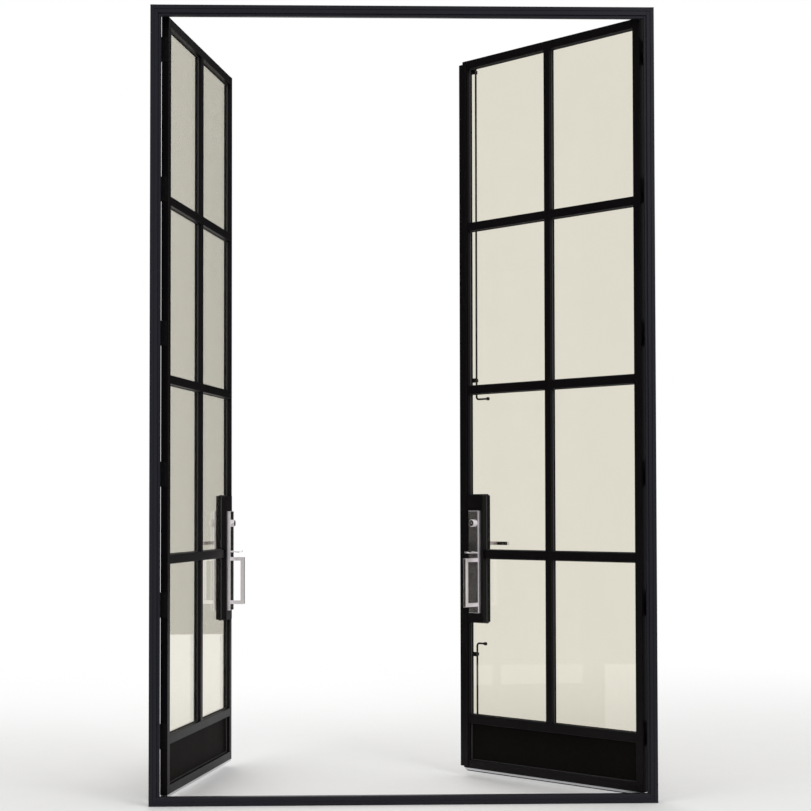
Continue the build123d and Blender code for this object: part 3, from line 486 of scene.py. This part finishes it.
def solids_of(data, matrix):
    """The points and faces of each connected solid of a mesh, moved by a matrix."""
    welded = bmesh.new()
    welded.from_mesh(data)
    welded.transform(matrix)
    bmesh.ops.remove_doubles(welded, verts=welded.verts, dist=WELD)
    solids, seen = [], set()
    for start in welded.verts:
        if start in seen:
            continue
        island, front = {start: None}, [start]
        while front:
            vertex = front.pop()
            for edge in vertex.link_edges:
                other = edge.other_vert(vertex)
                if other not in island:
                    island[other] = None
                    front.append(other)
        seen.update(island)
        faces = {face: None for vertex in island for face in vertex.link_faces}
        solids.append((
            [vertex.co.copy() for vertex in island],
            [[vertex.co.copy() for vertex in face.verts] for face in faces]))
    welded.free()
    return solids


def extent(points):
    """Lowest and highest corner of some points."""
    return (Vector(min(p[k] for p in points) for k in range(3)),
            Vector(max(p[k] for p in points) for k in range(3)))


def outline(faces, y):
    """The (x, z) corners, in order, of the flat side that a slab has at depth y."""
    flat = [face for face in faces if all(abs(p.y - y) < FLAT for p in face)]
    rim = {}
    for face in flat:
        for first, second in zip(face, face[1:] + face[:1]):
            pair = (grid(first), grid(second))
            if pair[::-1] in rim:
                del rim[pair[::-1]]
            else:
                rim[pair] = True
    follow = dict(rim.keys())
    start = min(follow)
    path, here = [start], follow[start]
    while here != start:
        path.append(here)
        here = follow[here]
    corners = []
    for k, (x, z) in enumerate(path):
        (x0, z0), (x1, z1) = path[k - 1], path[(k + 1) % len(path)]
        if abs((x - x0) * (z1 - z) - (z - z0) * (x1 - x)) > 0:
            corners.append((x / GRID, z / GRID))
    return corners


def grid(point):
    """A point's x and z, rounded so that equal corners compare as equal."""
    return round(point.x * GRID), round(point.z * GRID)


def offset(corners, by):
    """A right-angled outline moved inwards by a distance."""
    following = corners[1:] + corners[:1]
    area = sum(x0 * z1 - x1 * z0 for (x0, z0), (x1, z1) in zip(corners, following))
    turn = 1 if area > 0 else -1
    moved = []
    for k, (x, z) in enumerate(corners):
        (x0, z0), (x1, z1) = corners[k - 1], corners[(k + 1) % len(corners)]
        step_x = step_z = 0.0
        for dx, dz in ((x - x0, z - z0), (x1 - x, z1 - z)):
            run = math.hypot(dx, dz)
            step_x -= turn * by * dz / run
            step_z += turn * by * dx / run
        moved.append((x + step_x, z + step_z))
    return moved


def flat_face(faces, axis, sign):
    """Extent of the widest flat side that looks along an axis, of one solid's faces."""
    sides = {}
    for face in faces:
        normal = (face[1] - face[0]).cross(face[2] - face[0])
        if normal.length > 0 and normal[axis] * sign > SQUARE_ON * normal.length:
            level = round(face[0][axis] * GRID)
            area, points = sides.get(level, (0.0, []))
            sides[level] = (area + normal.length, points + face)
    return extent(max(sides.values(), key=lambda side: side[0])[1])


def frame_solids(node):
    """Each solid of a CAD node that rides on the frame, in the frame's own axes."""
    return solids_of(NODES[node].data, Matrix.Identity(4))


def frame_extent(node):
    """Lowest and highest corner of a CAD node that rides on the frame."""
    return extent([point for points, _ in frame_solids(node) for point in points])


def leaf_openings(leaf):
    """Each pane and the kick panel: its outline and the depths of its two sides."""
    side = leaf.split("_")[0]
    found = []
    for node in ("panes_hinge_column", "panes_lock_column", "kick_panel"):
        for points, faces in leaf_solids(f"{side}_{node}", leaf):
            low, high = extent(points)
            found.append((outline(faces, low.y), low.y, high.y))
    return found


def plate_spots(side):
    """Four staggered places on a hinge plate."""
    low, high = side
    level, reach = (low.z + high.z) / 2, high.z - low.z
    depth = high.y - low.y
    spots = []
    for k, rise in enumerate(HINGE_SCREW_RISES):
        y = low.y + depth * HINGE_SCREW_DEPTHS[k % 2]
        spots.append((low.x, y, level + rise * reach))
    return spots


# Meshes
def new_piece(name, mesh, material, body):
    """An object made of a mesh in the frame's axes, finished and riding on a body."""
    bmesh.ops.recalc_face_normals(mesh, faces=mesh.faces)
    data = bpy.data.meshes.new(name)
    mesh.to_mesh(data)
    mesh.free()
    piece = bpy.data.objects.new(name, data)
    bpy.context.scene.collection.objects.link(piece)
    data.materials.append(material)
    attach(piece, body)


def add_sealant(mesh, matrix, corners, glass_y, away, leg):
    """A closed strip of sealant round an outline: on the glass, up the steel, hollow between."""
    inner, middle = offset(corners, leg), offset(corners, leg * SEALANT_HOLLOW)
    rings = []
    for corner, along, up in zip(corners, inner, middle):
        section = (
            (corner[0], glass_y, corner[1]), (along[0], glass_y, along[1]),
            (up[0], glass_y + away * leg * SEALANT_HOLLOW, up[1]),
            (corner[0], glass_y + away * leg, corner[1]))
        rings.append([mesh.verts.new(matrix @ Vector(point)) for point in section])
    for ring, after in zip(rings, rings[1:] + rings[:1]):
        for k in range(len(ring)):
            mesh.faces.new((ring[k - 1], ring[k], after[k], after[k - 1]))


def lip_bar(ends, across, wide):
    """A straight bar with two eased corners, from the stop's edge out by its width."""
    back, front = -LIP_BACK, -LIP_BACK - LIP_DEPTH
    section = (
        (-LIP_BITE, back), (wide - LIP_EASE, back), (wide, back - LIP_EASE),
        (wide, front + LIP_EASE), (wide - LIP_EASE, front), (-LIP_BITE, front))
    mesh = bmesh.new()
    near, far = [
        [mesh.verts.new(end + across * out + Vector((0, y, 0))) for out, y in section]
        for end in ends]
    for k in range(len(section)):
        mesh.faces.new((near[k - 1], near[k], far[k], far[k - 1]))
    mesh.faces.new(near)
    mesh.faces.new(far)
    return mesh


def screw_head(radius):
    """Countersunk head, slightly domed, with a cross recess, looking along +Z."""
    mesh = bmesh.new()
    arm, half = radius * CROSS_ARM, radius * CROSS_HALF
    deep, rise = radius * CROSS_DEPTH, radius * DOME
    cross = []
    for quarter in range(4):
        turn = Matrix.Rotation(-quarter * math.pi / 2, 2)
        cross += [turn @ Vector(point) for point in ((half, arm), (half, half), (arm, half))]
    top = [mesh.verts.new((x, y, rise)) for x, y in cross]
    foot = [mesh.verts.new((x * CROSS_TAPER, y * CROSS_TAPER, rise - deep)) for x, y in cross]
    rim, level = DOME_RIM
    rings = [
        [mesh.verts.new((radius * out * math.sin(2 * math.pi * k / SCREW_STEPS),
                         radius * out * math.cos(2 * math.pi * k / SCREW_STEPS), z))
         for k in range(SCREW_STEPS)]
        for out, z in ((rim, rise * level), (1.0, 0.0), (HEAD_FOOT, -deep - rise))]
    for k in range(len(top)):
        after = (k + 1) % len(top)
        mesh.faces.new((top[k], top[after], foot[after], foot[k]))
        near = [rings[0][(2 * k + step) % SCREW_STEPS] for step in (1, 2, 3)]
        mesh.faces.new([top[k]] + near + [top[after]])
    for inner, outer in zip(rings, rings[1:]):
        for k in range(SCREW_STEPS):
            mesh.faces.new((inner[k - 1], inner[k], outer[k], outer[k - 1]))
    mesh.faces.new(foot)
    mesh.faces.new(rings[-1])
    bmesh.ops.recalc_face_normals(mesh, faces=mesh.faces)
    head = bpy.data.meshes.new("screw head")
    mesh.to_mesh(head)
    mesh.free()
    return head


def drive_screws(name, places, radius, material, body):
    """One piece of screw heads at (point, outward direction) pairs in the frame's axes."""
    head = screw_head(radius)
    mesh = bmesh.new()
    for count, (point, outward) in enumerate(places):
        before = len(mesh.verts)
        mesh.from_mesh(head)
        mesh.verts.ensure_lookup_table()
        spin = Matrix.Rotation(math.radians(SCREW_SPIN * count), 4, "Z")
        aim = outward.to_track_quat("Z", "Y").to_matrix().to_4x4()
        bmesh.ops.transform(
            mesh, matrix=Matrix.Translation(point) @ aim @ spin, verts=mesh.verts[before:])
    bpy.data.meshes.remove(head)
    new_piece(name, mesh, material, body)


def along_leaf(leaf, spots, axis, sign):
    """Leaf points on a side that looks along a leaf axis, as screw places in the frame's axes."""
    matrix = leaf_matrix(leaf)
    outward = matrix.to_3x3() @ Vector([sign if k == axis else 0.0 for k in range(3)])
    return [(matrix @ Vector(spot), outward) for spot in spots]


# Operators
class DoorsOperator(bpy.types.Operator):
    """Shared settings of the operators that dress the doors."""

    bl_options = {"REGISTER", "UNDO"}

    @staticmethod
    def finish(context, name):
        """The material of that name, made the first time it is asked for."""
        made = bpy.data.materials.get(name)
        if made:
            return made
        colours = context.scene.door_finishes

        def nickel(leaf):
            front = leaf_matrix(leaf).to_3x3() @ Vector((0, -1, 0))
            return polished_nickel(
                name, colours.nickel, colours.nickel_sheen, colours.nickel_flank, front)

        makers = {
            "Frame paint": lambda: satin_paint(
                name, colours.frame_paint, colours.paint_sheen,
                colours.paint_gloss * FRAME_GLOSS, colours.dust),
            "Leaf paint": lambda: satin_paint(
                name, colours.leaf_paint, colours.paint_sheen, colours.paint_gloss, colours.dust),
            "Panel paint": lambda: satin_paint(
                name, colours.panel_paint, colours.paint_sheen + PANEL_DULLER,
                colours.paint_gloss * PANEL_GLOSS, colours.dust, dust_height=0.35,
                dust_most=0.05),
            "Blackened steel": lambda: blackened_steel(
                name, colours.hinge_steel, colours.steel_sheen,
                colours.paint_gloss * STEEL_GLOSS),
            "Left nickel": lambda: nickel("left_leaf"),
            "Right nickel": lambda: nickel("right_leaf"),
            "Mill aluminium": lambda: mill_aluminium(name, colours.aluminium),
            "Black rubber": lambda: black_rubber(name, colours.rubber),
            "Clear glass": lambda: clear_glass(name, colours.glass),
        }
        if name not in makers:
            raise RuntimeError(f"there is no finish named {name}")
        return makers[name]()


class DOORS_OT_frame(DoorsOperator):
    """Paints the frame and the threshold"""

    bl_idname = "doors.frame"
    bl_label = "Frame"

    def execute(self, context):
        wear(named("frame_head", "frame_jamb_left", "frame_jamb_right", "threshold"),
             self.finish(context, "Frame paint"))
        wear(named("frame_seals"), self.finish(context, "Black rubber"))
        return {"FINISHED"}


class DOORS_OT_stop_lips(DoorsOperator):
    """Runs a slim steel bead along the stop's edge, up both jambs and under the head"""

    bl_idname = "doors.stop_lips"
    bl_label = "Stop lips"

    def execute(self, context):
        wide = context.scene.door_fittings.stop_lip
        left, right = frame_extent("frame_jamb_left")[1].x, frame_extent("frame_jamb_right")[0].x
        foot, top = frame_extent("threshold")[1].z, frame_extent("frame_head")[0].z
        paint = self.finish(context, "Frame paint")
        runs = {
            "left_stop_lip": ((left, 0, foot), (left, 0, top), (1, 0, 0)),
            "right_stop_lip": ((right, 0, foot), (right, 0, top), (-1, 0, 0)),
            "head_stop_lip": ((left + wide, 0, top), (right - wide, 0, top), (0, 0, -1)),
        }
        for name, (start, end, across) in runs.items():
            bar = lip_bar((Vector(start), Vector(end)), Vector(across), wide)
            new_piece(name, bar, paint, "frame")
        return {"FINISHED"}


class DOORS_OT_leaves(DoorsOperator):
    """Paints the bars, beads, lock boxes and kick panels of both leaves"""

    bl_idname = "doors.leaves"
    bl_label = "Leaves"

    def execute(self, context):
        wear(named("_stile", "_rail", "_mullion", "_muntins", "_glazing_beads", "_lock_box",
                   "_astragal"),
             self.finish(context, "Leaf paint"))
        wear(named("_kick_panel"), self.finish(context, "Panel paint"))
        wear(named("_sweep_carrier"), self.finish(context, "Mill aluminium"))
        wear(named("_sweep_blade"), self.finish(context, "Black rubber"))
        return {"FINISHED"}


class DOORS_OT_ironmongery(DoorsOperator):
    """Gives the hinges, bolts, plates, pulls and levers their metal"""

    bl_idname = "doors.ironmongery"
    bl_label = "Ironmongery"

    def execute(self, context):
        wear(named("hinge_frame_leaves", "hinge_pins", "_hinge_leaves", "bolt_keepers", "_top_bolt",
                   "_bottom_bolt", "_bolt_guides"),
             self.finish(context, "Blackened steel"))
        for side in ("left", "right"):
            trim = [item for item in named(
                "_plate", "_faceplate", "_pull", "_cylinder", "_thumb_piece", "_lever",
                "_latch_bolt", "_deadbolt", "_key_plug", "_thumbturn")
                if item.name.startswith(side)]
            wear(trim, self.finish(context, f"{side.capitalize()} nickel"))
        return {"FINISHED"}


class DOORS_OT_glazing(DoorsOperator):
    """Glazes the leaves and runs a line of sealant round every pane and panel"""

    bl_idname = "doors.glazing"
    bl_label = "Glazing"

    def execute(self, context):
        wear(named("_panes_hinge_column", "_panes_lock_column"),
             self.finish(context, "Clear glass"))
        leg = context.scene.door_fittings.sealant
        for leaf in LEAVES:
            mesh = bmesh.new()
            matrix = leaf_matrix(leaf)
            for corners, low, high in leaf_openings(leaf):
                for glass_y, away in ((low, -1), (high, 1)):
                    add_sealant(mesh, matrix, offset(corners, GLASS_BITE), glass_y, away, leg)
            side = leaf.split("_")[0]
            new_piece(
                f"{side}_sealant", mesh, self.finish(context, "Black rubber"), leaf)
        return {"FINISHED"}


class DOORS_OT_bead_screws(DoorsOperator):
    """Fixes the glazing beads with small screws on the interior side"""

    bl_idname = "doors.bead_screws"
    bl_label = "Bead screws"

    def execute(self, context):
        fittings = context.scene.door_fittings
        for leaf in LEAVES:
            side = leaf.split("_")[0]
            beads = leaf_solids(f"{side}_glazing_beads", leaf)
            inner_y = max(point.y for points, _ in beads for point in points)
            spots = []
            for corners, _, _ in leaf_openings(leaf):
                line = offset(corners, BEAD_MIDDLE)
                for (x0, z0), (x1, z1) in zip(line, line[1:] + line[:1]):
                    run = math.hypot(x1 - x0, z1 - z0)
                    if run < SHORT_BEAD:
                        continue
                    gaps = math.ceil((run - 2 * BEAD_END) / fittings.bead_pitch)
                    for k in range(gaps + 1):
                        at = (BEAD_END + k * (run - 2 * BEAD_END) / gaps) / run
                        spots.append((x0 + at * (x1 - x0), inner_y, z0 + at * (z1 - z0)))
            drive_screws(
                f"{side}_bead_screws", along_leaf(leaf, spots, 1, 1), fittings.bead_screw,
                self.finish(context, "Blackened steel"), leaf)
        return {"FINISHED"}


class DOORS_OT_hinge_screws(DoorsOperator):
    """Fixes both halves of every hinge with four screws"""

    bl_idname = "doors.hinge_screws"
    bl_label = "Hinge screws"

    def execute(self, context):
        radius = context.scene.door_fittings.hinge_screw
        steel = self.finish(context, "Blackened steel")
        at_frame = []
        for leaf in LEAVES:
            side, way = leaf.split("_")[0], MIRROR[leaf]
            spots = []
            for _, faces in leaf_solids(f"{side}_hinge_leaves", leaf):
                spots += plate_spots(flat_face(faces, 0, -way))
            drive_screws(
                f"{side}_hinge_screws", along_leaf(leaf, spots, 0, -way), radius, steel,
                leaf)
        for points, faces in frame_solids("hinge_frame_leaves"):
            way = -1 if sum(p.x for p in points) > 0 else 1
            outward = Vector((way, 0, 0))
            at_frame += [(Vector(spot), outward) for spot in plate_spots(flat_face(faces, 0, way))]
        drive_screws("frame_hinge_screws", at_frame, radius, steel, "frame")
        return {"FINISHED"}


class DOORS_OT_lock_screws(DoorsOperator):
    """Fixes the interior plates, the faceplate and the strike plate"""

    bl_idname = "doors.lock_screws"
    bl_label = "Lock screws"

    def execute(self, context):
        fittings = context.scene.door_fittings
        for leaf in LEAVES:
            side, way = leaf.split("_")[0], MIRROR[leaf]
            nickel = self.finish(context, f"{side.capitalize()} nickel")
            (_, faces), = leaf_solids(f"{side}_interior_plate", leaf)
            low, high = flat_face(faces, 1, 1)
            middle = (low.x + high.x) / 2
            spots = [(middle, high.y, z) for z in (low.z + PLATE_SCREW_IN, high.z - PLATE_SCREW_IN)]
            drive_screws(
                f"{side}_plate_screws", along_leaf(leaf, spots, 1, 1), fittings.plate_screw, nickel,
                leaf)
            edge = "left_faceplate" if side == "left" else "right_strike_plate"
            (_, faces), = leaf_solids(edge, leaf)
            low, high = flat_face(faces, 0, way)
            middle = (low.y + high.y) / 2
            spots = [(high.x, middle, z) for z in (low.z + EDGE_SCREW_IN, high.z - EDGE_SCREW_IN)]
            drive_screws(
                f"{side}_edge_screws", along_leaf(leaf, spots, 0, way), fittings.edge_screw, nickel,
                leaf)
        return {"FINISHED"}


class DOORS_OT_bolt_screws(DoorsOperator):
    """Fixes the guides and keepers of the surface bolts"""

    bl_idname = "doors.bolt_screws"
    bl_label = "Bolt screws"

    def execute(self, context):
        radius = context.scene.door_fittings.guide_screw
        steel = self.finish(context, "Blackened steel")
        spots = []
        for _, faces in leaf_solids("right_bolt_guides", "right_leaf"):
            low, high = flat_face(faces, 1, 1)
            level = (low.z + high.z) / 2
            first = low.x + GUIDE_SCREW_IN
            spots += [(x, high.y, level) for x in (first, first + GUIDE_SCREW_PITCH)]
        drive_screws(
            "right_guide_screws", along_leaf("right_leaf", spots, 1, 1), radius, steel,
            "right_leaf")
        at_frame = []
        for points, faces in frame_solids("bolt_keepers"):
            way = -1 if extent(points)[0].z > CAD_HIGH.z / 2 else 1
            low, high = flat_face(faces, 2, way)
            middle = (low + high) / 2
            for side in (-1, 1):
                spot = middle + Vector((side * KEEPER_SCREW_OUT, 0, 0))
                at_frame.append((spot, Vector((0, 0, way))))
        drive_screws("keeper_screws", at_frame, radius, steel, "frame")
        return {"FINISHED"}


class DOORS_OT_stage(DoorsOperator):
    """Sets the floor, lamps, surroundings and camera of the studio"""

    bl_idname = "doors.stage"
    bl_label = "Studio"

    def execute(self, context):
        settings = context.scene.door_stage
        lay_floor(settings.floor_colour)
        light_surroundings()
        aim = (CAD_LOW + CAD_HIGH) / 2
        for name, (place, facing, wide, high) in FLAGS.items():
            stand_flag(name, Vector(place), Vector(facing), wide, high)
        for name, (place, size, power, mirrored) in LAMPS.items():
            hang_lamp(name, Vector(place), aim, size, settings.lamp_power * power, mirrored)
        place_camera(settings)
        return {"FINISHED"}


# Studio
def lay_floor(shade):
    """A wide pale floor that turns white far off and keeps the doors' shadow."""
    mesh = bmesh.new()
    bmesh.ops.create_grid(
        mesh, x_segments=FLOOR_CELLS, y_segments=FLOOR_CELLS, size=FLOOR_HALF)
    data = bpy.data.meshes.new("studio floor")
    mesh.to_mesh(data)
    mesh.free()
    floor = bpy.data.objects.new("studio_floor", data)
    bpy.context.scene.collection.objects.link(floor)
    floor.location.z = -FLOOR_DROP
    finish = Finish("Pale floor")
    away = finish.add(
        "ShaderNodeVectorMath", {"operation": "LENGTH"}, {0: finish.place}, output="Value")
    far = finish.ramp(away, *FLOOR_WHITENS)
    grain = finish.noise(scale=7.0, detail=4.0, roughness=0.6)
    plain = finish.add("ShaderNodeBsdfPrincipled", sockets={
        "Base Color": finish.blend(grain, shade, scaled(shade, by=0.97)), "Roughness": 0.75,
        "Specular IOR Level": 0.2})
    white = finish.add("ShaderNodeEmission", sockets={"Color": rgba(WHITE), "Strength": 1.0})
    factor = far * seen_rays(finish)
    mixed = finish.add("ShaderNodeMixShader", sockets={0: factor, 1: plain, 2: white})
    data.materials.append(finish.closed(mixed))


def seen_rays(finish):
    """1 for rays of the camera, of a mirror and through glass, otherwise 0."""
    paths = [finish.add("ShaderNodeLightPath", output=name) for name in (
        "Is Camera Ray", "Is Glossy Ray", "Is Transmission Ray")]
    seen = paths[0] + paths[1] + paths[2]
    return seen.join("MINIMUM", seen, 1.0)


def light_surroundings():
    """A soft even sky that the camera and mirrors see as white."""
    world = bpy.data.worlds.new("Studio")
    world.use_nodes = True
    bpy.context.scene.world = world
    finish = Finish.on(world.node_tree)
    soft = finish.add(
        "ShaderNodeBackground", sockets={"Color": rgba(SKY), "Strength": SKY_STRENGTH})
    white = finish.add("ShaderNodeBackground", sockets={"Color": rgba(WHITE), "Strength": 1.0})
    mixed = finish.add("ShaderNodeMixShader", sockets={0: seen_rays(finish), 1: soft, 2: white})
    finish.add_output(mixed, "ShaderNodeOutputWorld")


def stand_flag(name, place, facing, wide, high):
    """A black upright card that only mirrors see, so that metal isn't white all over."""
    mesh = bmesh.new()
    bmesh.ops.create_grid(mesh, x_segments=1, y_segments=1, size=0.5)  # half a side of 1 m
    bmesh.ops.scale(mesh, vec=(wide, high, 1.0), verts=mesh.verts)
    data = bpy.data.meshes.new(f"{name} flag")
    mesh.to_mesh(data)
    mesh.free()
    flag = bpy.data.objects.new(f"{name}_flag", data)
    bpy.context.scene.collection.objects.link(flag)
    flag.location = place
    flag.rotation_euler = facing.to_track_quat("Z", "Y").to_euler()
    flag.visible_camera = flag.visible_diffuse = False
    flag.visible_shadow = flag.visible_transmission = False
    finish = Finish(f"Black card at the {name}")
    nap = finish.noise(scale=3.0)
    cloth = finish.blend(nap, *CLOTH)
    data.materials.append(finish.surface({"Base Color": cloth, "Roughness": 0.95}))


def hang_lamp(name, place, aim, size, power, mirrored):
    """A square softbox; one that isn't mirrored leaves no hard edge in the panes."""
    lamp = bpy.data.lights.new(f"{name} lamp", "AREA")
    lamp.shape = "SQUARE"
    lamp.size = size
    lamp.energy = power
    holder = bpy.data.objects.new(f"{name}_lamp", lamp)
    bpy.context.scene.collection.objects.link(holder)
    holder.location = place
    holder.rotation_euler = (aim - place).to_track_quat("-Z", "Y").to_euler()
    holder.visible_glossy = mirrored


def place_camera(settings):
    """Camera at the photograph's place, with its optical axis off the image's middle."""
    lens = bpy.data.cameras.new("Camera")
    lens.sensor_width = SENSOR
    lens.lens = settings.focal_pixels * SENSOR / IMAGE_SIDE
    lens.shift_x = (IMAGE_SIDE / 2 - settings.centre_x) / IMAGE_SIDE
    lens.shift_y = (settings.centre_y - IMAGE_SIDE / 2) / IMAGE_SIDE
    lens.clip_start, lens.clip_end = CLIP
    camera = bpy.data.objects.new("Camera", lens)
    bpy.context.scene.collection.objects.link(camera)
    turn = Matrix.Rotation(settings.camera_yaw, 4, "Z")
    tilt = Matrix.Rotation(math.pi / 2 + settings.camera_pitch, 4, "X")
    roll = Matrix.Rotation(settings.camera_roll, 4, "Z")
    camera.matrix_world = Matrix.Translation(settings.camera_place) @ turn @ tilt @ roll
    bpy.context.scene.camera = camera
    bpy.context.scene.view_settings.view_transform = "Standard"


class DOORS_PT_sidebar(bpy.types.Panel):
    """Sidebar panel with the doors' settings and steps"""

    bl_idname = "DOORS_PT_sidebar"
    bl_label = "French Doors"
    bl_space_type = "VIEW_3D"
    bl_region_type = "UI"
    bl_category = "French Doors"

    def draw(self, context):
        scene = context.scene
        for group in (scene.door_finishes, scene.door_fittings, scene.door_stage):
            box = self.layout.box()
            for key in group.__annotations__:
                box.prop(group, key)
        for step in STEPS:
            self.layout.operator(step.bl_idname)


SETTINGS = {"door_finishes": DoorFinishes, "door_fittings": DoorFittings, "door_stage": DoorStage}
STEPS = (
    DOORS_OT_frame, DOORS_OT_stop_lips, DOORS_OT_leaves, DOORS_OT_ironmongery,
    DOORS_OT_glazing, DOORS_OT_bead_screws, DOORS_OT_hinge_screws, DOORS_OT_lock_screws,
    DOORS_OT_bolt_screws, DOORS_OT_stage)


def register():
    """Adds the settings, the operators and the panel to Blender."""
    for item in (*SETTINGS.values(), *STEPS, DOORS_PT_sidebar):
        bpy.utils.register_class(item)
    for name, group in SETTINGS.items():
        setattr(bpy.types.Scene, name, PointerProperty(type=group))


def unregister():
    """Takes them away again."""
    for name in SETTINGS:
        delattr(bpy.types.Scene, name)
    for item in (DOORS_PT_sidebar, *STEPS[::-1], *SETTINGS.values()):
        bpy.utils.unregister_class(item)


def main():
    register()
    for step in STEPS:
        family, action = step.bl_idname.split(".")
        getattr(getattr(bpy.ops, family), action)()


if __name__ == "__main__":
    main()
